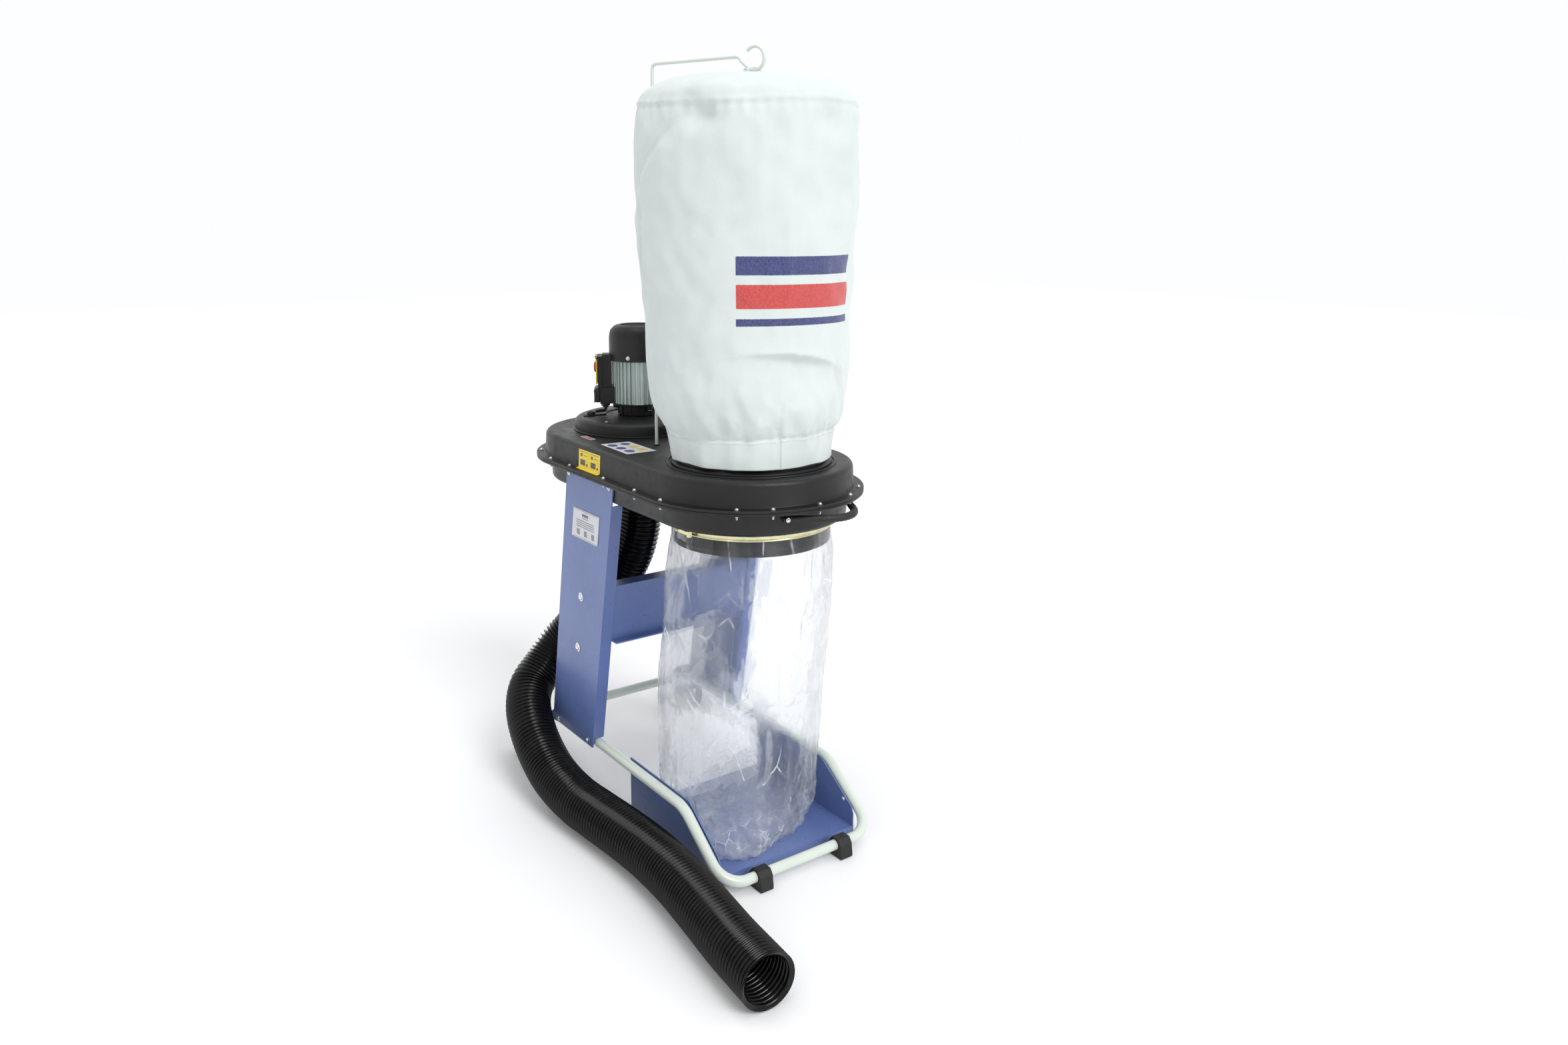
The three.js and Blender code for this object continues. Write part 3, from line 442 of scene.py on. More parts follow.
def filleted(profile, default=0.0, radii=None, steps=5):
    """A closed profile with its corners rounded; radii maps a corner's number to its radius."""
    radii = radii or {}
    out = []
    n = len(profile)
    for i, corner in enumerate(profile):
        here = Vector(corner)
        before = Vector(profile[i - 1]) - here
        after = Vector(profile[(i + 1) % n]) - here
        radius = radii.get(i, default)
        if radius <= 0 or min(before.length, after.length) < 1e-6:
            out.append(tuple(here))
            continue
        half = before.angle(after) / 2
        if half > 1.54:
            out.append(tuple(here))
            continue
        reach = min(radius / math.tan(half), 0.48 * before.length, 0.48 * after.length)
        start = here + before.normalized() * reach
        end = here + after.normalized() * reach
        for k in range(steps + 1):
            t = k / steps
            out.append(tuple(start * (1 - t) ** 2 + here * 2 * t * (1 - t) + end * t**2))
    return out


def lathe(profile, x=0.0, y=0.0, around=96):
    """Round body about a vertical axis, from a closed profile of (radius, z) in millimetres."""
    rings = []
    for i in range(around):
        t = 2 * pi * i / around
        rings.append([at(x + r * cos(t), y + r * sin(t), z) for r, z in profile])
    return swept(rings, loop=True)


def spun(profile, around=48):
    """Round body about the local Z axis, for fasteners and wheels that facing() then places."""
    rings = []
    for i in range(around):
        t = 2 * pi * i / around
        rings.append([Vector((r * cos(t), r * sin(t), z)) * MM for r, z in profile])
    return swept(rings, loop=True)


def prism(outline, low, high, to_point):
    """Plate over an outline of pairs, between two heights, through a function (a, b, h) -> point."""
    rings = [[to_point(a, b, h) for a, b in outline] for h in (low, high)]
    return swept(rings)


def carried(points, radius, sides, loop=False):
    """Rings along a path, turned as little as possible from each one to the next."""
    n = len(points)
    rings = []
    side = None
    for i, p in enumerate(points):
        ahead = points[(i + 1) % n] if loop or i < n - 1 else p
        behind = points[i - 1] if loop or i > 0 else p
        along = (ahead - behind).normalized()
        if side is None:
            side = Vector((0.3, 0.5, 0.8)).cross(along).normalized()
        side = (side - along * side.dot(along)).normalized()
        other = along.cross(side)
        r = radius(i) if callable(radius) else radius
        rings.append([
            p + (side * cos(2 * pi * j / sides) + other * sin(2 * pi * j / sides)) * r * MM
            for j in range(sides)
        ])
    return rings


def rod(points, radius, sides=20, loop=False):
    rings = carried(points, radius, sides, loop)
    if not loop:
        return swept(rings)
    last, first = rings[-1], rings[0]
    twist = min(range(sides), key=lambda k: (last[0] - first[k]).length)
    solid_points, faces = swept(rings, caps=False)
    base = (len(rings) - 1) * sides
    for j in range(sides):
        k = (j + 1) % sides
        faces.append((base + j, base + k, (k + twist) % sides, (j + twist) % sides))
    return solid_points, faces


def bent(corners, bends, loop=False, steps=14):
    """Centre line through corners in millimetres, each rounded by its own bend radius."""
    spots = [Vector(c) for c in corners]
    line = []
    for i, corner in enumerate(spots):
        if not loop and i in (0, len(spots) - 1):
            line.append(at(*corner))
            continue
        inward = (spots[i - 1] - corner).normalized()
        outward = (spots[(i + 1) % len(spots)] - corner).normalized()
        half = inward.angle(outward) / 2
        centre = corner + (inward + outward).normalized() * (bends[i] / sin(half))
        start = corner + inward * (bends[i] / math.tan(half)) - centre
        end = corner + outward * (bends[i] / math.tan(half)) - centre
        sweep = start.angle(end)
        for k in range(steps + 1):
            t = k / steps
            spoke = start * (sin((1 - t) * sweep) / sin(sweep)) + end * (sin(t * sweep) / sin(sweep))
            line.append(at(*(centre + spoke)))
    return line


def piece(name, solid, look, body="frame", instead_of=(), crease=32, bevel=0.0, steps=2):
    """A finished object from a solid: cleaned, smooth across its soft edges, riding on its body."""
    mesh = bpy.data.meshes.new(name)
    mesh.from_pydata([tuple(p) for p in solid[0]], [], solid[1])
    made = bpy.data.objects.new(name, mesh)
    bpy.context.scene.collection.objects.link(made)
    tidy = bmesh.new()
    tidy.from_mesh(mesh)
    bmesh.ops.remove_doubles(tidy, verts=tidy.verts, dist=2e-6)
    bmesh.ops.dissolve_degenerate(tidy, edges=tidy.edges, dist=1e-7)
    bmesh.ops.recalc_face_normals(tidy, faces=tidy.faces)
    tidy.to_mesh(mesh)
    tidy.free()
    mesh.shade_smooth()
    mesh.set_sharp_from_angle(angle=radians(crease))
    mesh.materials.append(look)
    if bevel:
        rounder(made, bevel, steps)
    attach(made, body)
    if instead_of:
        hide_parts(*instead_of)
    return made


def rounder(obj, width, steps=2, angle=32):
    bevel = obj.modifiers.new("soft edges", "BEVEL")
    bevel.width = width * MM
    bevel.segments = steps
    bevel.limit_method = "ANGLE"
    bevel.angle_limit = radians(angle)
    bevel.harden_normals = True


def kept(node, look, bevel=0.0, steps=2, crease=32):
    """A CAD node that keeps its mesh, with soft edges and a real finish."""
    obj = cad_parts[node]
    obj.data.materials.clear()
    obj.data.materials.append(look)
    obj.data.shade_smooth()
    obj.data.set_sharp_from_angle(angle=radians(crease))
    if bevel:
        flat = obj.modifiers.new("whole faces", "DECIMATE")
        flat.decimate_type = "DISSOLVE"
        flat.angle_limit = radians(0.6)
        rounder(obj, bevel, steps)
    return obj


def dome(radius, height):
    """Pan head with a washer under it, standing on z = 0."""
    arc = [(radius * cos(t * pi / 12), 1.4 + height * sin(t * pi / 12)) for t in range(7)]
    return spun([(0, 0), (radius * 1.45, 0), (radius * 1.45, 1.0),
            (radius * 1.05, 1.4)] + arc[:-1] + [(0, arc[-1][1])], 28)


def hexagon(radius, height, washer=True):
    """Chamfered hexagon head or nut, standing on z = 0."""
    base = 1.2 if washer else 0.0
    rings = []
    for r, z in ((radius * 0.93, base), (radius, base + 0.5), (radius, base + height - 0.7),
            (radius * 0.86, base + height)):
        rings.append([Vector((r * cos(k * pi / 3), r * sin(k * pi / 3), z)) * MM for k in range(6)])
    solid = swept(rings)
    if washer:
        solid = joined(solid, spun([(0, 0), (radius * 1.35, 0), (radius * 1.35, 1.0), (0, 1.0)], 28))
    return solid


# Housing --------------------------------------------------------------------------------------------


def stadium_ring(r, z, per_end=40):
    ring = []
    for side in (1, -1):
        for i in range(per_end + 1):
            t = -pi / 2 + pi * i / per_end
            ring.append(at(side * (HALF_SPAN + r * cos(t)), side * r * sin(t), z))
    return ring


def hole_ring(r, x, y, z, around=72):
    return [at(x + r * cos(2 * pi * i / around), y + r * sin(2 * pi * i / around),
            z) for i in range(around)]


def pierced_shell(profile, holes):
    """Moulded shell: a skin through stadium rings whose two end rings are floors with round holes."""
    rings = [stadium_ring(r, z) for r, z in profile]
    parts = [swept(rings, caps=False)]
    faces_z = (profile[0][1], profile[-1][1])
    for ring, z in zip((rings[0], rings[-1]), faces_z):
        loops = [ring] + [hole_ring(r, x, y, z) for r, x, y in holes]
        points = [p for loop in loops for p in loop]
        parts.append((points, [tuple(t) for t in tessellate_polygon(loops)]))
    for r, x, y in holes:
        parts.append(swept([hole_ring(r, x, y, z) for z in faces_z], caps=False))
    return joined(*parts)


def arc(centre_r, centre_z, radius, start, end, steps=7):
    out = []
    for k in range(steps + 1):
        t = radians(start + (end - start) * k / steps)
        out.append((centre_r + radius * cos(t), centre_z + radius * sin(t)))
    return out


FLANGE_TOP = SPLIT_Z + FLANGE_T
BOX_FACES = [(0, 3, 2, 1), (4, 5, 6, 7), (0, 1, 5, 4), (1, 2, 6, 5), (2, 3, 7, 6), (3, 0, 4, 7)]
ROD_SPOT = (-5.0, -70.0)


def upper_shell():
    skin = 3.0
    profile = [(UPPER_R - 12, DECK_Z - skin), (UPPER_R - 4.5, DECK_Z - 12), (UPPER_R - 1.2, SPLIT_Z)]
    profile += [(FLANGE_R - 0.6, SPLIT_Z), (FLANGE_R, SPLIT_Z + 0.8), (FLANGE_R, FLANGE_TOP - 0.9)]
    profile += [(FLANGE_R - 0.9, FLANGE_TOP), (UPPER_R + 4.5, FLANGE_TOP)]
    profile += [(UPPER_R + 2.6, FLANGE_TOP + 0.7), (UPPER_R + 1.9, FLANGE_TOP + 2.4)]
    profile += arc(UPPER_R - 8.6, DECK_Z - 9, 9, 0, 90)
    holes = [(117.4, MOTOR_X, 0), (132.0, BAG_X, 0), (3.4, *ROD_SPOT)]
    return piece("upper_shell_moulding", pierced_shell(profile, holes), PLASTIC,
                 instead_of=["upper_shell"])


def lower_shell():
    top = SPLIT_Z - 0.3
    low = top - FLANGE_T
    profile = [(LOWER_R - 11, BELLY_Z + 3), (LOWER_R - 4, BELLY_Z + 9), (LOWER_R - 3, low),
            (UPPER_R - 4, top)]
    profile += [(FLANGE_R - 0.7, top), (FLANGE_R, top - 0.7), (FLANGE_R, low + 0.9), (FLANGE_R - 0.9, low)]
    profile += [(LOWER_R + 3.2, low), (LOWER_R + 1.2, low - 0.8), (LOWER_R + 0.4, low - 2.6)]
    profile += arc(LOWER_R - 9.6, BELLY_Z + 9, 9, 0, -90)
    holes = [(spigot_hole(), MOTOR_X, 0), (142.3, BAG_X, 0)]
    return piece("lower_shell_moulding", pierced_shell(profile, holes), PLASTIC,
                 instead_of=["lower_shell"])


def spigot_hole():
    return (highest("inlet_spigot").z > 0) * 42.3


def flange_spots():
    """Bolt places round the flange, as (x, y, outward angle)."""
    r = FLANGE_R - 9.5
    spots = []
    for x in (-201, -119, 17, 131):
        for side in (-1, 1):
            spots.append((x, side * r, side * pi / 2))
    for angle in (-85, -41, -23.5, 2, 27.5, 46.5, 85):
        t = radians(angle)
        spots.append((HALF_SPAN + r * cos(t), r * sin(t), t))
    for angle in (118, 149, 180, 211, 242):
        t = radians(angle)
        spots.append((-HALF_SPAN + r * cos(t), r * sin(t), t))
    return spots


def flange_bolts():
    heads, nuts = [], []
    for k, (x, y, t) in enumerate(flange_spots()):
        heads.append(placed(dome(3.1, 2.2), facing(at(x, y, FLANGE_TOP), (0, 0, 1), t)))
        under = SPLIT_Z - 0.3 - FLANGE_T
        thread = [(0, 0)] + [(2.2 - 0.25 * (k % 2), 0.4 + 0.5 * k) for k in range(12)] + [(1.6, 6.6),
                (0, 6.8)]
        nut = joined(hexagon(3.4, 2.4, False), spun(thread, 16))
        nuts.append(placed(nut, facing(at(x, y, under), (0, 0, -1), 0.7 * k)))
    piece("flange_bolt_heads", joined(*heads), ZINC)
    piece("flange_bolt_nuts", joined(*nuts), ZINC)


def fan_cover():
    base = lowest("fan_cover").z
    top = base + 25.7
    neck = highest("fan_cover").z
    profile = [
        (129.2, base), (128.6, base + 15), (127.2, top - 5), (120.0, top), (52, neck), (14, neck),
        (14, neck - 4), (50, neck - 4), (117.6, top - 4), (124.4, top - 9), (124.4, base),
    ]
    rounded = filleted(profile, 0.0, {2: 7, 3: 10, 0: 0.8, 10: 0.5}, 6)
    ring = filleted([(128.9, base), (131.2, base), (131.2, base + 1.6), (128.8, base + 3.2)], 0.5, steps=3)
    solid = joined(lathe(rounded, MOTOR_X, 0, 144), lathe(ring, MOTOR_X, 0, 144))
    return piece("fan_cover_moulding", solid, PLASTIC, instead_of=["fan_cover"], crease=38)


def cover_height(r):
    """Height of the fan cover's sloping top at a radius from the motor's axis."""
    top = lowest("fan_cover").z + 25.7
    return top + (highest("fan_cover").z - top) * (120.0 - r) / 68.0


def cover_details():
    """Raised pad for the terminal box, a cable eye and the three cover screws."""
    steps = 26
    start, end = radians(172), radians(252)
    pad = []
    for inner, outer, lift in ((66, 112, 0.0), (66, 112, 2.4), (68, 109.5, 3.4)):
        edge = 1.5 * (lift > 3)
        ring = []
        for i in range(steps + 1):
            t = start + radians(edge) + (end - start - radians(2 * edge)) * i / steps
            ring.append(at(MOTOR_X + outer * cos(t), outer * sin(t), cover_height(outer) + lift - 0.6))
        for i in range(steps, -1, -1):
            t = start + radians(edge) + (end - start - radians(2 * edge)) * i / steps
            ring.append(at(MOTOR_X + inner * cos(t), inner * sin(t), cover_height(inner) + lift - 0.6))
        pad.append(ring)
    piece("fan_cover_pad", swept(pad), PLASTIC, crease=25)
    eye_at = radians(246)
    eye = joined(
        placed(spun(filleted([(3.2, 0), (9, 0), (8, 5.5), (3.2, 5.5)], 1.2), 32),
               facing(at(MOTOR_X + 96 * cos(eye_at), 96 * sin(eye_at), cover_height(96) + 2.4), (0, 0, 1))),
        placed(spun(filleted([(0, 0), (3, 0), (3, 4.6), (0, 4.6)], 0.6), 24),
               facing(at(MOTOR_X + 96 * cos(eye_at), 96 * sin(eye_at), cover_height(96) + 2.4), (0, 0, 1))),
    )
    piece("cable_eye", eye, RUBBER)
    screws = []
    for angle in (-64, 56, 134):
        t = radians(angle)
        screws.append(placed(dome(2.8, 1.8), facing(at(MOTOR_X + 111 * cos(t), 111 * sin(t),
                cover_height(111) - 0.2), (0, 0, 1))))
    piece("fan_cover_screws", joined(*screws), STEEL)


def collars():
    base = lowest("filter_collar").z
    neck = 137.0
    profile = [
        (neck - 3, base), (neck + 7, base), (neck + 7, base + 3), (neck + 3, base + 6), (neck, base + 8),
        (neck, base + 44), (neck - 1, base + 46), (neck - 3, base + 46),
    ]
    solid = lathe(filleted(profile, 0.8, {2: 1.5, 3: 2, 4: 3}, 4), BAG_X, 0, 144)
    rings = [lathe(filleted([(neck + 9, base - 0.2), (neck + 16, base - 0.2), (neck + 15, base + 1.6),
            (neck + 10, base + 1.6)], 0.8, steps=4), BAG_X, 0, 144)]
    piece("filter_collar_moulding", solid, PLASTIC, instead_of=["filter_collar"])
    piece("deck_ring_moulding", joined(*rings), PLASTIC)
    low, top = lowest("dust_collar").z, highest("dust_collar").z
    r = 142.0
    profile = [
        (r - 3, low + 0.6), (r - 2.4, low), (r - 0.8, low), (r, low + 0.8), (r, low + 7), (r + 0.6,
            low + 8),
        (r + 0.6, low + 10), (r, low + 11), (r, top - 2), (r + 8, top - 2), (r + 8, top), (r - 3, top),
    ]
    piece("dust_collar_moulding", lathe(profile, BAG_X, 0, 144), PLASTIC,
            instead_of=["dust_collar"])
    low, top = lowest("inlet_spigot").z, highest("inlet_spigot").z
    profile = filleted([(40, low), (42, low), (42, top - 2), (54, top - 2), (54, top), (40, top)], 0.5,
            steps=3)
    piece("inlet_spigot_moulding", lathe(profile, MOTOR_X, 0, 96), PLASTIC,
            instead_of=["inlet_spigot"])


def band_clamps():
    """Hose clamp on the spigot and the pressed band that holds the clear bag on its collar."""
    low, top = lowest("hose_clamp").z, lowest("hose_clamp").z + 12
    band = lathe(filleted([(46.7, low), (48, low), (48, top), (46.7, top)], 0.3, steps=2), MOTOR_X, 0, 96)
    ribs = []
    for k in range(46):
        t = radians(-70 + 3.0 * k)
        spot = at(MOTOR_X + 48 * cos(t - pi / 2), 48 * sin(t - pi / 2), (low + top) / 2)
        ribs.append(placed(spun([(0, 0), (0.6, 0), (0.45, 0.35), (0, 0.4)], 8),
                facing(spot, (cos(t - pi / 2), sin(t - pi / 2), 0))))
    screw = placed(spun(filleted([(0, 0), (4.4, 0), (4.4, 24), (0, 24)], 0.8, steps=3), 24),
                   facing(at(MOTOR_X - 12, -52.6, (low + top) / 2), (1, 0, 0)))
    head = placed(hexagon(4.2, 4, False), facing(at(MOTOR_X + 11.5, -52.6, (low + top) / 2), (1, 0, 0)))
    piece("hose_clamp_band", joined(band, *ribs, screw, head), ZINC,
            instead_of=["hose_clamp"])
    low, top = lowest("dust_bag_clamp").z, highest("dust_bag_clamp").z
    r = 144.4
    profile = [
        (r, low + 0.5), (r + 0.5, low), (r + 1.6, low), (r + 1.8, low + 1.2), (r + 1.0,
            low + 3), (r + 1.0, top - 3),
        (r + 1.8, top - 1.2), (r + 1.6, top), (r + 0.5, top), (r, top - 0.5),
    ]
    ear = prism([(BAG_X - 9, -r - 9), (BAG_X - 3, -r - 9), (BAG_X - 3, -r - 0.8), (BAG_X - 9, -r - 0.8)],
                low + 3, top - 3, at)
    rivet = placed(dome(2.2, 1.2), facing(at(BAG_X - 6, -r - 9, (low + top) / 2), (0, -1, 0)))
    piece("bag_band", joined(lathe(profile, BAG_X, 0, 144), ear, rivet), GOLD_ZINC,
          instead_of=["dust_bag_clamp"])
    kept("dust_bag_clamp_lever", GOLD_ZINC, 0.8)


# Grip angles round the housing's end, in degrees.
GRIP = (-15.0, 41.0)


def grip_point(t, z):
    angle = radians(GRIP[0] + (GRIP[1] - GRIP[0]) * t)
    r = LOWER_R + 7 + 41 * sin(pi * min(max(t, 0), 1)) ** 2
    return at(HALF_SPAN + r * cos(angle), r * sin(angle), z)


def handle():
    """Rubber grip with flat ends, thicker and ribbed along its middle."""
    z = middle("carry_handle").z
    count = 90
    path = [grip_point(-0.04 + 1.08 * i / count, z) for i in range(count + 1)]

    def radius(i):
        share = i / count
        swell = 5.0 + 1.4 * sin(pi * share) ** 0.6
        ribbed = 0.35 * cos(2 * pi * i / 3) if 0.22 < share < 0.78 else 0.0
        return swell + ribbed

    feet = []
    for angle in GRIP:
        t = radians(angle)
        out = Vector((cos(t), sin(t), 0))
        start = at(HALF_SPAN + (LOWER_R + 0.6) * out.x, (LOWER_R + 0.6) * out.y, z)
        feet.append(placed(spun(filleted([(2.8, 0), (7.2, 0), (5.6, 11.9), (2.8, 11.9)], 1.4), 40),
                facing(start, out)))
    piece("carry_handle_grip", joined(rod(path, radius, 24), *feet), RUBBER,
          instead_of=["carry_handle"], crease=50)
    for angle, node in zip(GRIP, ("handle_bolt_front", "handle_bolt_rear")):
        t = radians(angle)
        out = Vector((cos(t), sin(t), 0))
        start = at(HALF_SPAN + (LOWER_R + 12.6) * out.x, (LOWER_R + 12.6) * out.y, z)
        piece(node + "_head", placed(dome(2.6, 1.9), facing(start, out)), ZINC,
                instead_of=[node])


# Motor ------------------------------------------------------------------------------------------------

STATOR_LOW = lowest("stator_housing").z
STATOR_HIGH = highest("stator_housing").z
COWL_TOP = highest("fan_cowl").z
COWL_R = 57.5
STATOR_R = 52.0


def fan_cowl():
    foot = STATOR_HIGH - 1
    vent_r = 34.0
    outer = [(COWL_R, foot), (COWL_R, COWL_TOP - 26), (COWL_R - 2, COWL_TOP - 12),
            (COWL_R - 11, COWL_TOP - 2.5),
             (vent_r + 4, COWL_TOP), (vent_r, COWL_TOP - 0.8)]
    inner = [(vent_r, COWL_TOP - 4.6), (COWL_R - 13, COWL_TOP - 6.5), (COWL_R - 4.5, COWL_TOP - 14),
             (COWL_R - 2.4, COWL_TOP - 27), (COWL_R - 2.4, foot)]
    rounded = filleted(outer + inner, 0.0, {0: 0.6, 1: 16, 2: 16, 3: 16, 4: 6, 7: 8, 8: 12}, 8)
    skirt = filleted([(COWL_R - 0.6, foot), (COWL_R + 0.7, foot), (COWL_R + 0.7, foot + 3),
            (COWL_R - 0.6, foot + 4.6)], 0.4, steps=3)
    bars = []
    pitch, width = 5.4, 1.5
    for turn, lift in ((pi / 4, -1.9), (-pi / 4, -2.4)):
        count = int(vent_r // pitch)
        for k in range(-count, count + 1):
            offset = k * pitch
            half = math.sqrt(vent_r**2 - offset**2) + 0.6
            corners = [(-half, offset - width / 2), (half, offset - width / 2),
                    (half, offset + width / 2), (-half, offset + width / 2)]
            spots = [(MOTOR_X + a * cos(turn) - b * sin(turn), a * sin(turn) + b * cos(turn)) for a,
                    b in corners]
            bars.append(prism(spots, COWL_TOP + lift - 1.1, COWL_TOP + lift, at))
    solid = joined(lathe(rounded, MOTOR_X, 0, 112), lathe(skirt, MOTOR_X, 0, 112))
    piece("fan_cowl_moulding", solid, PLASTIC, instead_of=["fan_cowl"], crease=40)
    piece("fan_cowl_grille", joined(*bars), PLASTIC)
    screws = []
    for angle in (-49, 71, 191):
        t = radians(angle)
        out = Vector((cos(t), sin(t), 0))
        screws.append(placed(dome(2.7, 2.0), facing(at(MOTOR_X + COWL_R * out.x, COWL_R * out.y,
                foot + 8), out)))
    piece("fan_cowl_screws", joined(*screws), ZINC)


def stator():
    """Finned housing with a plain pad on the side that faces the bag and one opposite."""
    fins = 36
    outline = []
    for i in range(fins):
        pad = i % (fins // 2) in (14, 15)
        valley = STATOR_R - (0.8 if pad else 4.6)
        tip = STATOR_R - (0.4 if pad else 0.0)
        for share, r in ((0.02, tip - 0.5), (0.08, tip), (0.26, tip), (0.32, tip - 0.5),
                (0.40, valley + 0.4), (0.48, valley), (0.84, valley), (0.94, valley + 0.4)):
            t = 2 * pi * (i + share) / fins
            outline.append((MOTOR_X + r * cos(t), r * sin(t)))
    outer = [[at(x, y, z) for x, y in outline] for z in (STATOR_LOW, STATOR_HIGH)]
    n = len(outline)
    inner = [[at(MOTOR_X + 44 * cos(2 * pi * (i + 0.02) / n), 44 * sin(2 * pi * (i + 0.02) / n),
            z) for i in range(n)]
             for z in (STATOR_HIGH, STATOR_LOW)]
    solid = swept([outer[0], outer[1], inner[0], inner[1]], loop=True)
    piece("stator_housing_casting", solid, ALUMINIUM, instead_of=["stator_housing"], crease=28)


def end_shields():
    bottom = lowest("lower_end_shield").z
    top = highest("lower_end_shield").z
    profile = [(10.5, bottom), (40, bottom), (40, top - 4), (50.5, top - 4), (51.6, top), (36, top),
            (36, bottom + 4),
               (23, bottom + 4), (23, bottom + 17), (20.3, bottom + 17), (20.3, bottom + 3), (10.5,
                   bottom + 3)]
    parts = [lathe(filleted(profile, 0.6, {1: 1.5, 2: 3}, 3), MOTOR_X, 0, 96)]
    bolts = []
    for angle in (-119, 1, 121):
        t = radians(angle)
        spot = at(MOTOR_X + 45 * cos(t), 45 * sin(t), top - 11.5)
        parts.append(placed(spun(filleted([(0, 0), (6.2, 0), (6.6, 11), (0, 11)], 1.0), 28),
                facing(spot, (0, 0, 1))))
        bolts.append(placed(dome(2.6, 2.0), facing(spot, (0, 0, -1))))
    for k in range(12):
        t = radians(30 * k + 8)
        out = Vector((cos(t), sin(t), 0))
        rib = ([Vector(p) * MM for p in ((-1.4, -0.9, 0), (1.4, -0.9, 0), (1.4, 0.9, 0), (-1.4, 0.9, 0),
                                          (-1.4, -0.9, 19), (1.4, -0.9, 19), (1.4, 0.9, 19), (-1.4, 0.9,
                                              19))],
               BOX_FACES)
        parts.append(placed(rib, Matrix.Translation(at(MOTOR_X + 40.3 * out.x, 40.3 * out.y,
                bottom + 1)) @ Matrix.Rotation(t, 4, "Z")))
    piece("lower_end_shield_casting", joined(*parts), PLASTIC,
            instead_of=["lower_end_shield"])
    piece("motor_foot_screws", joined(*bolts), ZINC)


def inner_motor():
    for node in ("stator_core", "rotor", "fan_scroll"):
        kept(node, STEEL)
    kept("stator_windings", COPPER)
    for node in ("motor_shaft", "lower_bearing", "upper_bearing", "impeller_nut"):
        kept(node, ZINC, crease=25)
    for node in ("upper_end_shield", "impeller", "run_capacitor"):
        kept(node, ALUMINIUM, crease=25)
    kept("cooling_fan", PLASTIC)
    kept("hanger_socket", PLASTIC)
    kept("filter_bag_snap_band", ZINC)


# Switch and terminal box: drawn facing +X at the motor's axis, then turned about it -------------------

SWITCH_TURN = radians(-120)


def facing_switch(x, y, z):
    c, s = cos(SWITCH_TURN), sin(SWITCH_TURN)
    return at(MOTOR_X + x * c - y * s, x * s + y * c, z)


def block(x0, x1, y0, y1, z0, z1):
    outline = [(x0, y0), (x1, y0), (x1, y1), (x0, y1)]
    return prism(outline, z0, z1, facing_switch)


def rounded_block(x0, x1, y0, y1, z0, z1, radius):
    """Box whose corners, seen from the front, are rounded."""
    outline = filleted([(y0, z0), (y1, z0), (y1, z1), (y0, z1)], radius, steps=6)
    return prism(outline, x0, x1, lambda y, z, x: facing_switch(x, y, z))


OUTWARD = Vector((cos(SWITCH_TURN), sin(SWITCH_TURN), 0))


def switch():
    low, high = lowest("switch_housing").z, highest("switch_housing").z - 1
    kept("switch_housing", PLASTIC, 0.7)
    kept("terminal_box", PLASTIC, 0.7)
    kept("switch_plate", PLASTIC, 0.4)
    kept("flap_hinge_pin", ZINC)
    kept("start_button", GREEN, 0.8, 3)
    kept("stop_button", RED, 0.8, 3)
    kept("switch_flap", YELLOW, 0.7, 3)
    kept("cable_gland", PLASTIC, 0.4)
    grooves = []
    for side in (-1, 1):
        y = side * 26
        for x in (74.2, 78.0):
            grooves.append(block(x, x + 1.3, y - 0.4, y + 0.9 * side if side > 0 else y + 0.4, low + 4,
                    high - 4))
    ribs = [block(60 + 4 * k, 61.4 + 4 * k, side * 23 - 0.3, side * 23 + 0.7, low + 6,
            high - 8) for k in range(3) for side in (-1, 1)]
    cap = rounded_block(55, 71, -18, 18, high - 2, high + 3.2, 3)
    piece("switch_housing_ribs", joined(*grooves, *ribs, cap), PLASTIC, bevel=0.3)
    z0, z1 = lowest("terminal_cover").z, highest("terminal_cover").z
    outline = filleted([(-29, z0 + 4), (29, z0 + 4), (29, z1), (-29, z1)], 5, steps=6)
    rings = [[facing_switch(x, y * k, (z0 + z1) / 2 + (z - (z0 + z1) / 2) * k) for y, z in outline]
             for x, k in ((76.3, 0.97), (77.3, 1.0), (83, 1.0), (86.4, 0.96), (88, 0.90))]
    piece("terminal_cover_moulding", swept(rings), PLASTIC,
            instead_of=["terminal_cover"], crease=40)
    screws = [placed(dome(2.0, 1.2), facing(facing_switch(87.0, y, z), OUTWARD)) for y in (-23,
            23) for z in (z0 + 6, z1 - 6)]
    piece("terminal_cover_screws", joined(*screws), ZINC)
    knob_base, knob_z = 81.2, middle("emergency_stop_knob").z
    profile = [(0, 0), (7.5, 0), (7.5, 3.1), (10.2, 3.3), (10.5, 4.4), (10.2, 5.9), (8.6, 7.0), (5, 7.5),
            (0, 7.6)]
    knob = placed(spun(filleted(profile, 0.3, {4: 0.6, 6: 1.6, 7: 3}, 4), 56),
            facing(facing_switch(knob_base, 0, knob_z), OUTWARD))
    piece("emergency_stop_mushroom", knob, RED, body="flap",
            instead_of=["emergency_stop_knob"], crease=45)
    lead = [facing_switch(66, 12, 764), facing_switch(66, 12, 758), facing_switch(68, 13, 754.6),
            facing_switch(76, 16, 753.8),
            facing_switch(86, 19, 753.4)]
    smooth = spline(lead, 6)
    piece("motor_lead", rod(smooth, 3.2, 14), RUBBER)


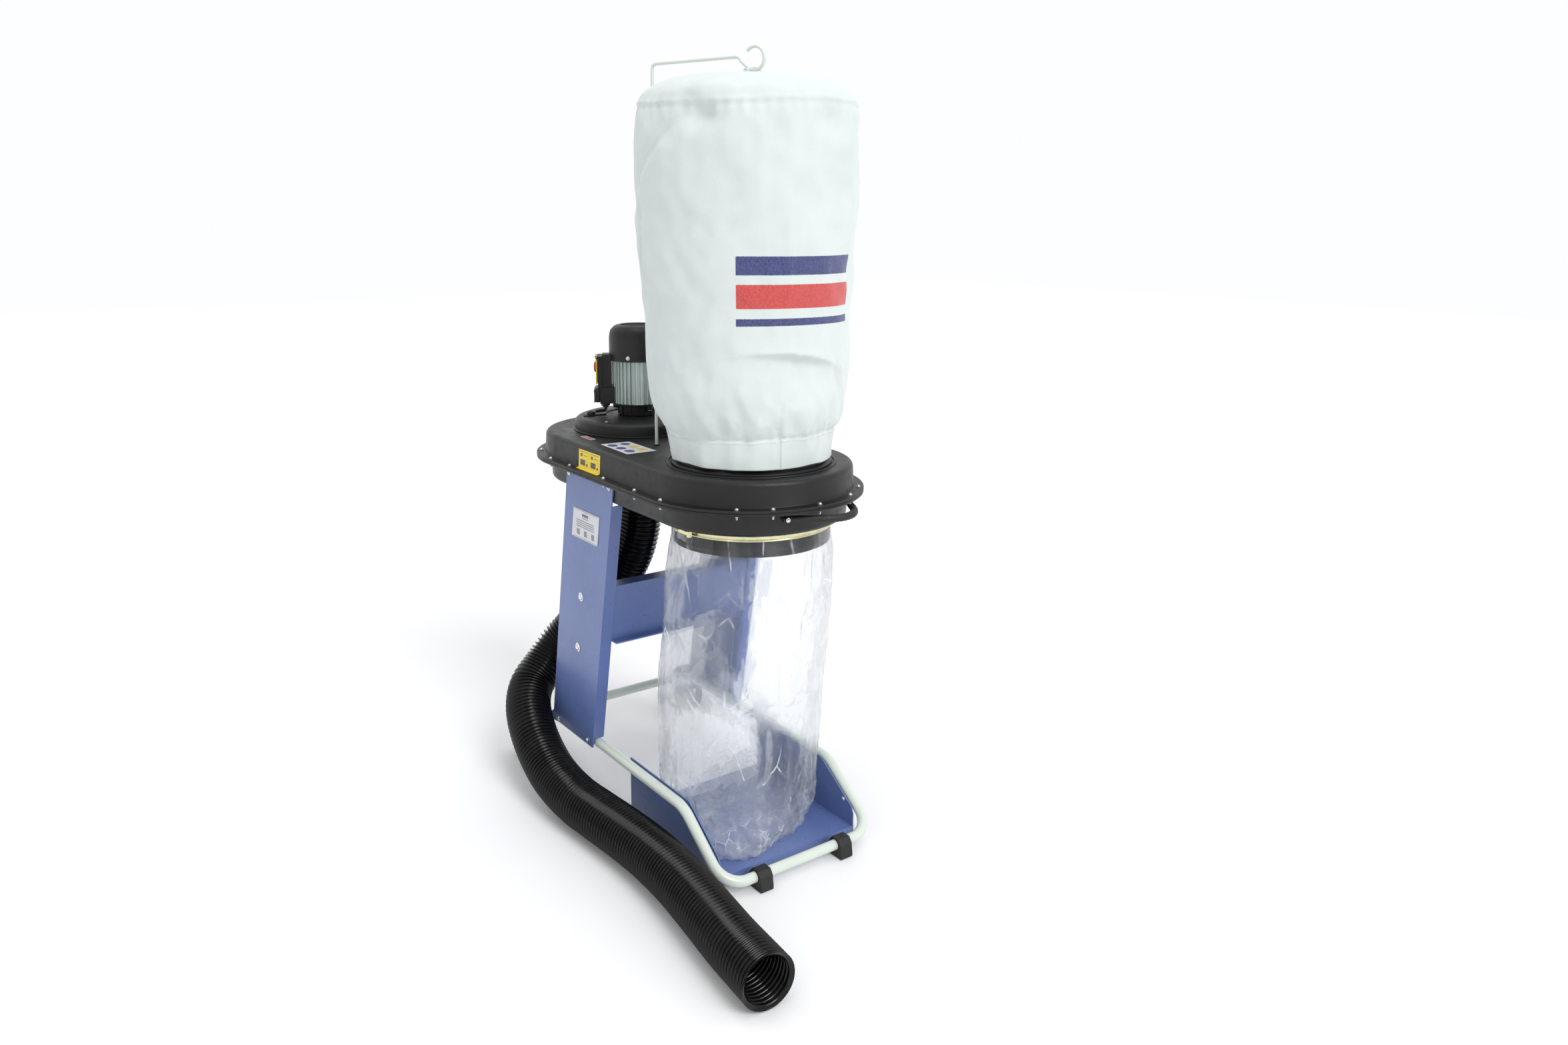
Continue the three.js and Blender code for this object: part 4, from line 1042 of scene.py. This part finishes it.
def spline(points, steps):
    """Catmull-Rom line through points."""
    out = []
    n = len(points)
    for i in range(n - 1):
        p0, p1, p2, p3 = (points[max(0, min(n - 1, k))] for k in (i - 1, i, i + 1, i + 2))
        for k in range(steps):
            t = k / steps
            out.append(0.5 * (2 * p1 + (p2 - p0) * t + (2 * p0 - 5 * p1 + 4 * p2 - p3) * t * t
                              + (3 * p1 - p0 - 3 * p2 + p3) * t**3))
    out.append(points[-1])
    return out


# Suction hose --------------------------------------------------------------------------------------------

HOSE_ROUTE = [
    (-197, 0, 618), (-197, 0, 590), (-197, 0, 550), (-200, -3, 505), (-209, -11, 458),
    (-230, -25, 408), (-260, -45, 358), (-291, -70, 310), (-318, -98, 267), (-332, -131, 229),
    (-327, -165, 195), (-313, -200, 168), (-279, -225, 143), (-232, -240, 116), (-175, -247, 85),
    (-105, -250, 60), (-20, -248, 48.5), (60, -241, 47), (140, -234, 47), (225, -230, 47),
    (323, -233, 47), (424, -244, 47), (517, -256, 47), (584, -262, 47), (630, -266, 47),
]
HOSE_R = 46.0
RIB_PITCH = 8.7


def evenly(points, spacing):
    """Points along a line at equal distances, its two ends kept."""
    lengths = [0.0]
    for a, b in zip(points, points[1:]):
        lengths.append(lengths[-1] + (b - a).length)
    count = max(2, round(lengths[-1] / spacing))
    out = []
    k = 0
    for i in range(count + 1):
        target = lengths[-1] * i / count
        while k < len(points) - 2 and lengths[k + 1] < target:
            k += 1
        share = (target - lengths[k]) / max(lengths[k + 1] - lengths[k], 1e-12)
        out.append(points[k].lerp(points[k + 1], min(max(share, 0), 1)))
    return out, lengths[-1]


def suction_hose():
    """Ribbed hose: one closed skin that runs out along the ribs and back along the bore."""
    sides = 40
    per_rib = 6
    line = spline([at(*p) for p in HOSE_ROUTE], 14)
    centres, length = evenly(line, RIB_PITCH * MM / per_rib)
    n = len(centres)

    def outside(i):
        phase = (i % per_rib) / per_rib
        return HOSE_R - 6.5 * (1 - cos(pi * phase) ** 6)

    def inside(i):
        return outside(i) - 1.6

    outer = carried(centres, outside, sides)
    inner = carried(centres, inside, sides)
    mouth = [p.lerp(q, 0.5) + (centres[-1] - centres[-2]) * 0.5 for p, q in zip(outer[-1], inner[-1])]
    solid = swept(outer + [mouth] + inner[::-1], loop=True)
    hose = piece("ribbed_hose", solid, HOSE, instead_of=["suction_hose"], crease=180)
    return n


suction_hose()


# Bags ---------------------------------------------------------------------------------------------------

FILTER_STATIONS = [
    (729, 205, 0, 142.6), (760, 205, 0, 143.4), (780, 205, 0, 146), (807, 203, 0, 157), (860, 201, -1, 168),
    (1000, 198, -3, 177), (1150, 197, -4, 186), (1250, 198, -4, 186), (1312, 199, -3, 181), (1336, 200,
        -2, 172),
    (1352, 202, -1, 146), (1368, 204, 0, 104), (1380, 206, 3, 46), (1384, 206, 4, 0.2),
]
DUST_STATIONS = [
    (TRAY_TOP + 0.8, 166, 0, 60), (TRAY_TOP + 2, 166, 0, 92), (32, 166, 0, 117), (60, 163, 0, 134), (115,
        163, 0, 141),
    (200, 169, 0, 144.5), (300, 176, 0, 147), (450, 193, 0, 148), (545, 203, 0, 146), (578, 206.8, 0,
        144.2),
    (598, 207, 0, 143.4), (617, 207, 0, 143.4),
]


def station(stations, z):
    """Centre and radius at a height, on a smooth line through the stations."""
    heights = [s[0] for s in stations]
    k = max(i for i, h in enumerate(heights) if h <= z or i == 0)
    k = min(k, len(stations) - 2)
    t = (z - heights[k]) / (heights[k + 1] - heights[k])
    a, b = stations[k], stations[k + 1]
    before, after = stations[max(k - 1, 0)], stations[min(k + 2, len(stations) - 1)]
    out = []
    for i in (1, 2, 3):
        slope_a = (b[i] - before[i]) / max(b[0] - before[0], 1e-6)
        slope_b = (after[i] - a[i]) / max(after[0] - a[0], 1e-6)
        step = b[0] - a[0]
        h = (2 * t**3 - 3 * t**2 + 1) * a[i] + (t**3 - 2 * t**2 + t) * step * slope_a
        out.append(h + (3 * t**2 - 2 * t**3) * b[i] + (t**3 - t**2) * step * slope_b)
    return out


def soft_tube(stations, heights, around):
    """Rings of a bag's skin at the given heights."""
    rings = []
    for z in heights:
        x, y, r = station(stations, z)
        turns = [2 * pi * j / around for j in range(around)]
        rings.append([at(x + r * cos(t), y + r * sin(t), z) for t in turns])
    return rings


def gap_between(t, centre_deg):
    """Signed difference from an angle in degrees, wrapped, in degrees."""
    d = math.degrees(t) - centre_deg
    return (d + 180) % 360 - 180


def bell(d, width):
    return exp(-((d / width) ** 2))


def simulated(obj, pinned, grow, pressure, frames, cap):
    """Cloth run on a sheet: it grows a little, so that it buckles between its pinned edges."""
    group = obj.vertex_groups.new(name="held")
    group.add([v.index for v in obj.data.vertices if pinned(v.co)], 1.0, "REPLACE")
    start = [v.co.copy() for v in obj.data.vertices]
    cloth = obj.modifiers.new("cloth", "CLOTH")
    rules = cloth.settings
    rules.quality = 6
    rules.mass = 0.15
    rules.tension_stiffness = 30
    rules.compression_stiffness = 30
    rules.shear_stiffness = 10
    rules.bending_stiffness = 1.5
    rules.air_damping = 6
    rules.shrink_min = -grow
    rules.use_pressure = True
    rules.uniform_pressure_force = pressure
    rules.effector_weights.gravity = 0.0
    rules.vertex_group_mass = "held"
    cloth.collision_settings.use_collision = False
    cloth.point_cache.frame_end = frames
    scene = bpy.context.scene
    for f in range(1, frames + 1):
        scene.frame_set(f)
    ready = obj.evaluated_get(bpy.context.evaluated_depsgraph_get())
    moved = [v.co.copy() for v in ready.data.vertices]
    obj.modifiers.remove(cloth)
    scene.frame_set(1)
    for v, a, b in zip(obj.data.vertices, start, moved):
        step = b - a
        if step.length > cap * MM:
            step = step.normalized() * cap * MM
        v.co = a + step


def thickened(obj, thickness, level=1):
    solid = obj.modifiers.new("thickness", "SOLIDIFY")
    solid.thickness = thickness * MM
    solid.offset = -1
    if level:
        sub = obj.modifiers.new("smooth", "SUBSURF")
        sub.levels = level
        sub.render_levels = level


def felt_offset(t, z):
    """Hem, seams, puckers, dents and folds of the filter bag."""
    d = 0.0
    seam = gap_between(t, -17)
    hem_z = 778 + 3 * sin(t * 2 + 1)
    d += 1.3 * (z < hem_z) - 1.6 * bell(z - hem_z, 2.6)
    d += -2.2 * bell(seam, 0.9) * (z < 845) + 1.0 * bell(seam - 2.2, 1.3) * (z < 845)
    d += 0.9 * sin(t * 46 + 2 * sin(3 * t)) * bell(z - 786, 9)
    d += (2.2 * sin(t * 11 + 0.7) + 1.6 * sin(t * 23 + 1.3)) * bell(z - 800, 26)
    shoulder = 1331 + 5 * sin(2 * t + 0.6)
    d += 1.5 * bell(z - shoulder, 3.0) - 1.2 * bell(z - shoulder + 7, 4)
    d += 1.1 * sin(t * 52 + 3 * sin(2 * t)) * bell(z - shoulder + 9, 13)
    d += -13 * bell(gap_between(t, -58), 9) * bell(z - 1304, 20)
    d += -9 * bell(gap_between(t, 14), 9) * bell(z - 1300, 24)
    d += -6 * bell(gap_between(t, 100), 14) * bell(z - 1296, 22)
    line = gap_between(t, -72) * 2.9 + (1301 - z)
    d += -5.5 * bell(line, 13) * bell(gap_between(t, -88), 22)
    front = gap_between(t, -13.5)
    d += 2.4 * exp(-abs(front) / 1.6) * bell(z - 1090, 95)
    lip = 921 - 0.012 * (gap_between(t, -6)) ** 2 - 0.45 * gap_between(t, -6)
    below = lip - z
    reach = bell(gap_between(t, -7), 24)
    if below > 0:
        d += -13.5 * reach * (1 - exp(-below / 7)) * exp(-below / 52)
    else:
        d += 4.2 * reach * exp(below / 17)
    crease = gap_between(t, 22) * 3.0 - (902 - z) * 0.55
    d += -4.5 * bell(crease, 9) * bell(z - 868, 42)
    d += -4.0 * bell(gap_between(t, -104) + (z - 1120) / 60, 2.0) * bell(z - 1100, 90)
    d += 3.0 * bell(gap_between(t, -99) + (z - 1120) / 60, 3.2) * bell(z - 1100, 90)
    wave = Vector((2.4 * cos(t), 2.4 * sin(t), z / 95))
    d += 4.2 * (noise.noise(wave)) + 1.7 * noise.noise(wave * 2.7)
    fine = 1 - 2 * abs(noise.noise(Vector((5 * cos(t) + 7, 5 * sin(t), z / 60))))
    low_share = bell(z - 830, 60) + 0.5 * bell(z - 1290, 60) + 0.15
    d += 2.0 * fine * low_share
    top = min(max((1384 - z) / 40, 0), 1)
    return 1.5 * d * (0.1 + 0.9 * top)


def filter_bag():
    around = 200
    heights = [729 + 51 * i / 22 for i in range(22)] + [780 + 550 * i / 130 for i in range(130)]
    heights += [1330 + 54 * (1 - (1 - i / 30) ** 1.6) for i in range(31)]
    rings = soft_tube(FILTER_STATIONS, heights, around)
    solid = swept(rings, caps=False)
    bag = piece("filter_bag_cloth", solid, FELT, instead_of=["filter_bag"], crease=180)
    simulated(bag, lambda p: p.z < 0.782 or p.z > 1.372, grow=0.030, pressure=1.4, frames=18, cap=20)
    for v in bag.data.vertices:
        z = v.co.z / MM
        x, y, r = station(FILTER_STATIONS, min(max(z, 729), 1384))
        out = Vector((v.co.x / MM - SHIFT_X - x, v.co.y / MM - y, 0))
        if out.length < 2:
            continue
        t = atan2(out.y, out.x)
        v.co += out.normalized() * felt_offset(t, z) * MM
        if z < 731:
            v.co.z += 1.6 * MM * sin(5 * t) * sin(2 * t + 1)
    thickened(bag, 1.6)
    stitches()
    bail()


def stitches():
    """Thread of the hem and the side seam."""
    threads = []

    def stitch(t, z, along):
        x, y, r = station(FILTER_STATIONS, z)
        d = felt_offset(t, z) + 0.25
        spot = at(x + (r + d) * cos(t), y + (r + d) * sin(t), z)
        tangent = Vector((-sin(t), cos(t), 0)) if along == "round" else Vector((0, 0, 1))
        threads.append(placed(spun([(0, -1.3), (0.45, -1.1), (0.55, 0), (0.45, 1.1), (0, 1.3)], 6),
                facing(spot, tangent)))

    for i in range(250):
        t = 2 * pi * i / 250
        stitch(t, 774.5 + 3 * sin(t * 2 + 1), "round")
    for i in range(22):
        stitch(radians(-17 + 2.2), 732 + 4.6 * i, "up")
    piece("filter_bag_stitches", joined(*threads), FELT)


def bail():
    """Wire bail and the two cloth tabs that hold it to the top of the bag."""
    kept("filter_bag_bail", GREY, crease=60)
    tabs = []
    across = Vector((-76, 211)).normalized()
    for side in (-1, 1):
        cx, cy = 207 + across.x * 25 * side, 6 + across.y * 25 * side
        loop = []
        for k in range(13):
            a = radians(-60 + 300 * k / 12)
            loop.append(at(cx + 4.4 * cos(a) * across.y, cy - 4.4 * cos(a) * across.x,
                    1388.2 + 3.6 * sin(a)))
        tabs.append(rod(loop, 1.1, 10))
    piece("bail_tabs", joined(*tabs), FELT)


def film_offset(t, z):
    """Creases, gathers and crumples of the clear bag."""
    d = 0.0
    body = min(max((572 - z) / 60, 0), 1)
    for centre in (-45, -17, 135, 163):
        d += 2.6 * exp(-abs(gap_between(t, centre)) / 1.3) * body * (z > 70)
    near_collar = bell(z - 545, 40) * (z < 578)
    d += 3.2 * near_collar * (1 - 2 * abs(noise.noise(Vector((6 * cos(t), 6 * sin(t), z / 130)))))
    d += -14 * bell(gap_between(t, -94), 13) * bell(z - 520, 46)
    d += 5 * bell(gap_between(t, -80), 6) * bell(z - 505, 50)
    d += -9 * bell(gap_between(t, -98), 16) * bell(z - 385, 34)
    d += -7 * bell(gap_between(t, -50), 12) * bell(z - 310, 60)
    d += -6 * bell(gap_between(t, 30), 18) * bell(z - 240, 80)
    where = Vector((1.9 * cos(t) + 3, 1.9 * sin(t), z / 150))
    d += 4.0 * noise.noise(where) * body
    ridge = 1 - 2.4 * abs(noise.noise(Vector((3.2 * cos(t), 3.2 * sin(t) + 5, z / 85))))
    d += 2.0 * ridge * body
    fine = 1 - 2.4 * abs(noise.noise(Vector((8 * cos(t) + 2, 8 * sin(t), z / 38))))
    low = bell(z - 30, 85)
    d += (0.8 + 8.0 * low) * fine * body
    finer = 1 - 2.2 * abs(noise.noise(Vector((17 * cos(t), 17 * sin(t) + 9, z / 17))))
    d += (0.5 + 4.5 * low) * finer * body
    # The flat-laid bag's two bottom corners make its foot long and pointed.
    corner = abs(cos(t + radians(38)))
    d += (40 * corner**12 - 14 * (1 - corner**2)) * bell(z - 19, 48)
    return d


def dust_bag():
    around = 240
    heights = [DUST_STATIONS[0][0] + 42 * (i / 26) ** 1.3 for i in range(26)]
    start = DUST_STATIONS[0][0] + 42
    heights += [start + (617 - start) * i / 150 for i in range(151)]
    rings = soft_tube(DUST_STATIONS, heights, around)
    x, y, r = station(DUST_STATIONS, heights[0])
    floor = []
    for k in range(12, 0, -1):
        floor.append([
            at(x + r * k / 13 * cos(2 * pi * j / around), r * k / 13 * sin(2 * pi * j / around), heights[0])
            for j in range(around)
        ])
    points, faces = swept(floor[::-1] + rings, caps=False)
    faces.append(tuple(reversed(range(around))))
    bag = piece("dust_bag_film", (points, faces), FILM, instead_of=["dust_bag"], crease=180)
    simulated(
        bag, lambda p: p.z > 0.576 or p.z < (TRAY_TOP + 1.5) * MM, grow=0.03, pressure=0.6, frames=20, cap=12
    )
    for v in bag.data.vertices:
        z = v.co.z / MM
        x, y, r = station(DUST_STATIONS, min(max(z, heights[0]), 617))
        out = Vector((v.co.x / MM - SHIFT_X - x, v.co.y / MM - y, 0))
        if out.length < 70:
            rough = noise.noise(Vector((out.x / 16, out.y / 16, 3)))
            v.co.z += 2.2 * MM * max(0, 0.6 + rough)
            continue
        t = atan2(out.y, out.x)
        d = film_offset(t, z)
        v.co += out.normalized() * d * MM
        if z < 120:
            lift = noise.noise(Vector((out.x / 22, out.y / 22, 1))) + 0.5 * noise.noise(Vector((out.x / 9,
                    out.y / 9, 8)))
            v.co.z += 10 * MM * max(-0.1, lift) * bell(z - 20, 50)
        v.co.z = max(v.co.z, (TRAY_TOP + 0.5) * MM)
    thickened(bag, 0.35, 0)


# Stand --------------------------------------------------------------------------------------------------


def stand():
    for node in ("front_leg", "rear_leg"):
        kept(node, BLUE, 0.9, 3)
    for node in ("cross_panel", "dust_tray"):
        kept(node, BLUE, 0.7)
    for node in ("front_wheel_bracket", "rear_wheel_bracket"):
        kept(node, BLUE, 0.5)
    for node in ("front_foot_clip", "rear_foot_clip"):
        kept(node, RUBBER, 0.9, 3)
    corners = [(-278, -163, 114), (232, -163, 114), (363, -163, 22), (363, 163, 22), (232, 163, 114),
            (-278, 163, 114)]
    line = bent(corners, [42, 70, 46, 46, 70, 42], True)
    piece("base_tube_bent", rod(line, 9.5, 28, True), GREY, instead_of=["base_tube"],
            crease=60)


def hanger():
    dx, dy = 206 + 5, 6 + 70
    reach = hypot(dx, dy)
    ux, uy = dx / reach, dy / reach
    arm_z = 1416.0

    def spot(s, z):
        return (-5 + ux * s, -70 + uy * s, z)

    corners = [spot(0, DECK_Z - 36), spot(0, arm_z), spot(reach - 30, arm_z), spot(reach - 22, arm_z - 20)]
    line = bent(corners, [0, 9, 12, 0], steps=8)[:-1]
    for i in range(33):
        t = radians(-132 + 270 * i / 32)
        line.append(at(*spot(reach + 1 + 20 * cos(t), arm_z - 5 + 20 * sin(t))))
    piece("hanger_rod_bent", rod(line, 3.0, 18), GREY, instead_of=["hanger_rod"], crease=60)
    grommet = placed(spun(filleted([(3.3, 0), (6.6, 0), (6.2, 2.2), (3.3, 2.6)], 0.7), 32),
            facing(at(*ROD_SPOT, DECK_Z), (0, 0, 1)))
    piece("hanger_rod_grommet", grommet, RUBBER)


def stand_fasteners():
    """Bolts on the legs, tray screws and the screws that hold each leg to the base tube."""
    face = -LEG_Y
    bolts = []
    for side in (1, -1):
        for x, z in ((-119, 408), (-138, 299)):
            bolts.append(placed(dome(6.2, 3.6), facing(at(x, side * face, z), (0, -side, 0))))
        for x, z in ((-236, 114), (-106, 115)):
            bolts.append(placed(dome(4.2, 2.6), facing(at(x, side * face, z), (0, -side, 0))))
        for x in (-158, 4):
            bolts.append(placed(dome(3.4, 2.2), facing(at(x, side * face, 650), (0, -side, 0))))
    for side in (1, -1):
        for x, z in ((60, 100), (300, 62)):
            inner = side * (highest("dust_tray").y - 2)
            bolts.append(placed(dome(3.6, 2.2), facing(at(x, inner, z), (0, -side, 0))))
    piece("stand_bolts", joined(*bolts), ZINC)
    clips = []
    for node in ("front_foot_clip", "rear_foot_clip"):
        y = middle(node).y
        clips.append(placed(dome(2.6, 1.4), facing(at(340.0 + 8, y - 13, 8), (0, -1, 0))))
    piece("foot_clip_screws", joined(*clips), STEEL)


def wheels():
    """Solid tyre on a spoked plastic centre, one for each side."""
    for name in ("front", "rear"):
        node = name + "_wheel"
        centre = middle(node)
        x, z = centre.x - SHIFT_X, centre.z
        tyre = [(40, -11), (49.5, -12), (52, -9), (52, 9), (49.5, 12), (40, 11)]
        tread = []
        for i in range(64):
            t = 2 * pi * i / 64
            tread.append(placed(
                ([Vector(p) * MM for p in ((-1.1, -8, 51.5), (1.1, -8, 51.5), (1.1, 8, 51.5),
                    (-1.1, 8, 51.5),
                                          (-0.9, -8, 51.98), (0.9, -8, 51.98), (0.9, 8, 51.98), (-0.9, 8,
                                              51.98))],
                 BOX_FACES),
                Matrix.Translation(at(x, centre.y, z)) @ Matrix.Rotation(t, 4, "Y")))
        rubber_part = placed(spun(filleted(tyre, 1.0, {1: 3, 2: 2, 3: 2, 4: 3}, 4), 96),
                facing(at(x, centre.y, z), (0, 1, 0)))
        piece(node + "_tyre", joined(rubber_part, *tread), RUBBER, body=node,
                instead_of=[node], crease=35)
        rim = spun(filleted([(36, -8.5), (40.2, -8.5), (40.2, 8.5), (36, 8.5)], 0.8), 96)
        hub = spun(filleted([(6.3, -12), (14, -12), (14, 12), (6.3, 12)], 0.8), 48)
        web = spun([(13.5, -1.5), (36.5, -1.5), (36.5, 1.5), (13.5, 1.5)], 96)
        spokes = []
        for k in range(8):
            spoke = ([Vector(p) * MM for p in ((13, -1.2, -8), (37, -1.2, -7), (37, 1.2, -7), (13, 1.2, -8),
                                                (13, -1.2, 8), (37, -1.2, 7), (37, 1.2, 7), (13, 1.2, 8))],
                     BOX_FACES)
            spokes.append(placed(spoke, Matrix.Rotation(2 * pi * k / 8, 4, "Z")))
        centre_part = placed(joined(rim, hub, web, *spokes), facing(at(x, centre.y, z), (0, 1, 0)))
        piece(node + "_centre", centre_part, PLASTIC, body=node)
        kept(name + "_wheel_bolt", ZINC, 0.4)
        kept(name + "_wheel_nut", ZINC, 0.4)


# Labels --------------------------------------------------------------------------------------------------


def label_plate(name, corners, look, lift, normal, thickness=0.25):
    """Thin plate over four corners, standing proud of the surface along its normal."""
    n = Vector(normal)
    rings = [[at(*c) + n * (lift + h) * MM for c in corners] for h in (0.0, thickness)]
    return piece(name, swept(rings), look)


def labels():
    def row(x):
        return (x + SHIFT_X) * MM

    navy, gold, dark = (0.04, 0.05, 0.30), (0.72, 0.58, 0.06), (0.03, 0.03, 0.03)
    marks = [("disc", navy, 0.08, 0.30, 0.10, 0.42), ("disc", navy, 0.38, 0.60, 0.10, 0.42)]
    marks += [("disc", navy, 0.68, 0.90, 0.10, 0.42), ("disc", navy, 0.10, 0.30, 0.56, 0.88)]
    marks += [("block", gold, 0.40, 0.58, 0.60, 0.86), ("block", gold, 0.68, 0.86, 0.60, 0.86)]
    white = printed("deck label", (0.78, 0.78, 0.77), marks, 1, -0.155, -0.097, 0, row(-70), row(38))
    label_plate("deck_label", [(-73, -153, DECK_Z), (37, -157, DECK_Z), (40, -97, DECK_Z),
            (-66, -96, DECK_Z)],
                white, 0.05, (0, 0, 1))
    pale, claret = (0.66, 0.60, 0.57), (0.42, 0.05, 0.05)
    marks = [("block", claret, 0.10, 0.90, 0.20, 0.80), ("block", pale, 0.18, 0.55, 0.44, 0.56)]
    red = printed("small label", pale, marks, 1, -0.149, -0.136, 0, row(-167), row(-123))
    label_plate("small_deck_label", [(-167, -148, DECK_Z), (-123, -149, DECK_Z), (-123, -137, DECK_Z),
            (-167, -136, DECK_Z)],
                red, 0.05, (0, 0, 1))
    marks = []
    for left in (0.06, 0.55):
        marks += [("block", dark, left, left + 0.39, 0.88, 0.91),
                ("block", dark, left + 0.03, left + 0.12, 0.62, 0.80)]
        marks += [("block", dark, left + 0.18, left + 0.34, 0.68, 0.72),
                ("block", dark, left + 0.02, left + 0.25, 0.14, 0.46)]
        marks += [("block", dark, left + 0.29, left + 0.37, 0.14, 0.26)]
    yellow = printed("side label", (0.84, 0.62, 0.02), marks, 2, 0.675, 0.709, 0, row(-98), row(-13))
    strip = []
    for x in (-98, -13):
        side = []
        for r, z in ((UPPER_R + 9, FLANGE_TOP + 0.2), (UPPER_R + 3.4, FLANGE_TOP + 0.9),
                (UPPER_R + 2.2, FLANGE_TOP + 3),
                     (UPPER_R + 1.2, 700), (UPPER_R + 0.6, 709)):
            side.append((x, -r - 0.1, z))
        strip.append(side)
    outer = [at(*p) for side in strip for p in side]
    inner = [p + Vector((0, 0.25 * MM, -0.12 * MM)) for p in outer]
    n = len(strip[0])
    faces = []
    for i in range(n - 1):
        faces.append((i, i + 1, n + i + 1, n + i))
        faces.append((2 * n + i, 3 * n + i, 3 * n + i + 1, 2 * n + i + 1))
        faces.append((i, 2 * n + i, 2 * n + i + 1, i + 1))
        faces.append((n + i, n + i + 1, 3 * n + i + 1, 3 * n + i))
    faces += [(0, n, 3 * n, 2 * n), (n - 1, 3 * n - 1, 4 * n - 1, 2 * n - 1)]
    piece("side_label", (outer + inner, faces), yellow, crease=30)
    grey = (0.22, 0.22, 0.24)
    marks = [("block", grey, 0.03, 0.97, 0.955, 0.975), ("block", grey, 0.03, 0.97, 0.025, 0.045)]
    marks += [("block", (0.10, 0.10, 0.16), 0.38, 0.62, 0.78, 0.88),
            ("block", claret, 0.40, 0.60, 0.71, 0.74)]
    marks += [("block", grey, 0.16, 0.84, v, v + 0.035) for v in (0.61, 0.54, 0.47, 0.40)]
    marks += [("block", grey, u, u + 0.12, 0.12, 0.32) for u in (0.16, 0.44, 0.72)]
    rating = printed("rating plate print", (0.66, 0.68, 0.71), marks, 2, 0.527, 0.586, 0, row(-146),
            row(-40))
    rating_node = kept("rating_plate", rating, 0.25)
    rivets = []
    for x, z in ((-146 + 0.18 * (531 - 556) + 5, 531), (-40 + 0.18 * (531 - 556) - 5, 531),
                 (-146 + 0.18 * (582 - 556) + 5, 582), (-40 + 0.18 * (582 - 556) - 5, 582)):
        rivets.append(placed(spun([(0, 0), (1.7, 0), (1.4, 0.7), (0, 1.0)], 20),
                facing(at(x, -LEG_Y - 1, z), (0, -1, 0))))
    piece("rating_plate_rivets", joined(*rivets), BRUSHED)
    return rating_node


# Set -----------------------------------------------------------------------------------------------------


def studio():
    floor_mesh = bpy.data.meshes.new("floor")
    half = 14.0
    floor_mesh.from_pydata([(-half, -half, 0), (half, -half, 0), (half, half, 0), (-half, half, 0)], [],
            [(0, 1, 2, 3)])
    floor = bpy.data.objects.new("floor", floor_mesh)
    floor.location.z = -0.0008
    bpy.context.scene.collection.objects.link(floor)
    look = Look("pale floor", (0.90, 0.90, 0.90), 0.5, Specular_IOR_Level=0.25)
    look.colour(look.mix(look.between(look.noise(2.5, 3), 0.3, 0.7), (0.885, 0.89, 0.90),
            (0.91, 0.91, 0.91)))
    floor_mesh.materials.append(look.material)
    world = bpy.data.worlds.new("studio")
    bpy.context.scene.world = world
    world.use_nodes = True
    nodes, links = world.node_tree.nodes, world.node_tree.links
    turn = nodes.new("ShaderNodeVectorMath")
    turn.operation = "DOT_PRODUCT"
    turn.inputs[1].default_value = (-0.79, 0.61, 0.25)
    links.new(nodes.new("ShaderNodeTexCoord").outputs["Generated"], turn.inputs[0])
    fade = nodes.new("ShaderNodeMapRange")
    for key, number in (("From Min", -0.7), ("From Max", 0.6), ("To Min", 0.62), ("To Max", 1.0)):
        fade.inputs[key].default_value = number
    links.new(turn.outputs["Value"], fade.inputs["Value"])
    links.new(fade.outputs[0], nodes["Background"].inputs["Strength"])
    nodes["Background"].inputs["Color"].default_value = (0.985, 0.992, 1.0, 1)
    data = bpy.data.lights.new("sky panel", "SUN")
    data.energy = 1.5
    data.angle = radians(24)
    sun = bpy.data.objects.new("sky panel", data)
    bpy.context.scene.collection.objects.link(sun)
    sun.rotation_euler = Vector((-0.76, 0.02, -0.66)).to_track_quat("-Z", "Y").to_euler()

    def softbox(name, place, target, size, power, tint=(1, 1, 1)):
        data = bpy.data.lights.new(name, "AREA")
        data.shape = "RECTANGLE"
        data.size, data.size_y = size
        data.energy = power
        data.color = tint
        light = bpy.data.objects.new(name, data)
        bpy.context.scene.collection.objects.link(light)
        light.location = place
        light.rotation_euler = (Vector(target) - Vector(place)).to_track_quat("-Z", "Y").to_euler()

    softbox("key", (1.5, -2.8, 2.3), (0, 0, 0.8), (0.6, 1.8), 4)
    softbox("side", (3.0, 0.6, 1.8), (0, 0, 0.8), (0.5, 1.6), 9)
    softbox("top", (0.2, -0.2, 3.2), (0, 0, 0.4), (1.4, 1.4), 10)
    bpy.context.scene.view_settings.view_transform = "Standard"
    bpy.context.scene.view_settings.look = "None"


upper_shell()
lower_shell()
flange_bolts()
fan_cover()
cover_details()
collars()
band_clamps()
handle()
fan_cowl()
stator()
end_shields()
inner_motor()
switch()
stand()
hanger()
stand_fasteners()
wheels()
labels()
filter_bag()
dust_bag()
studio()
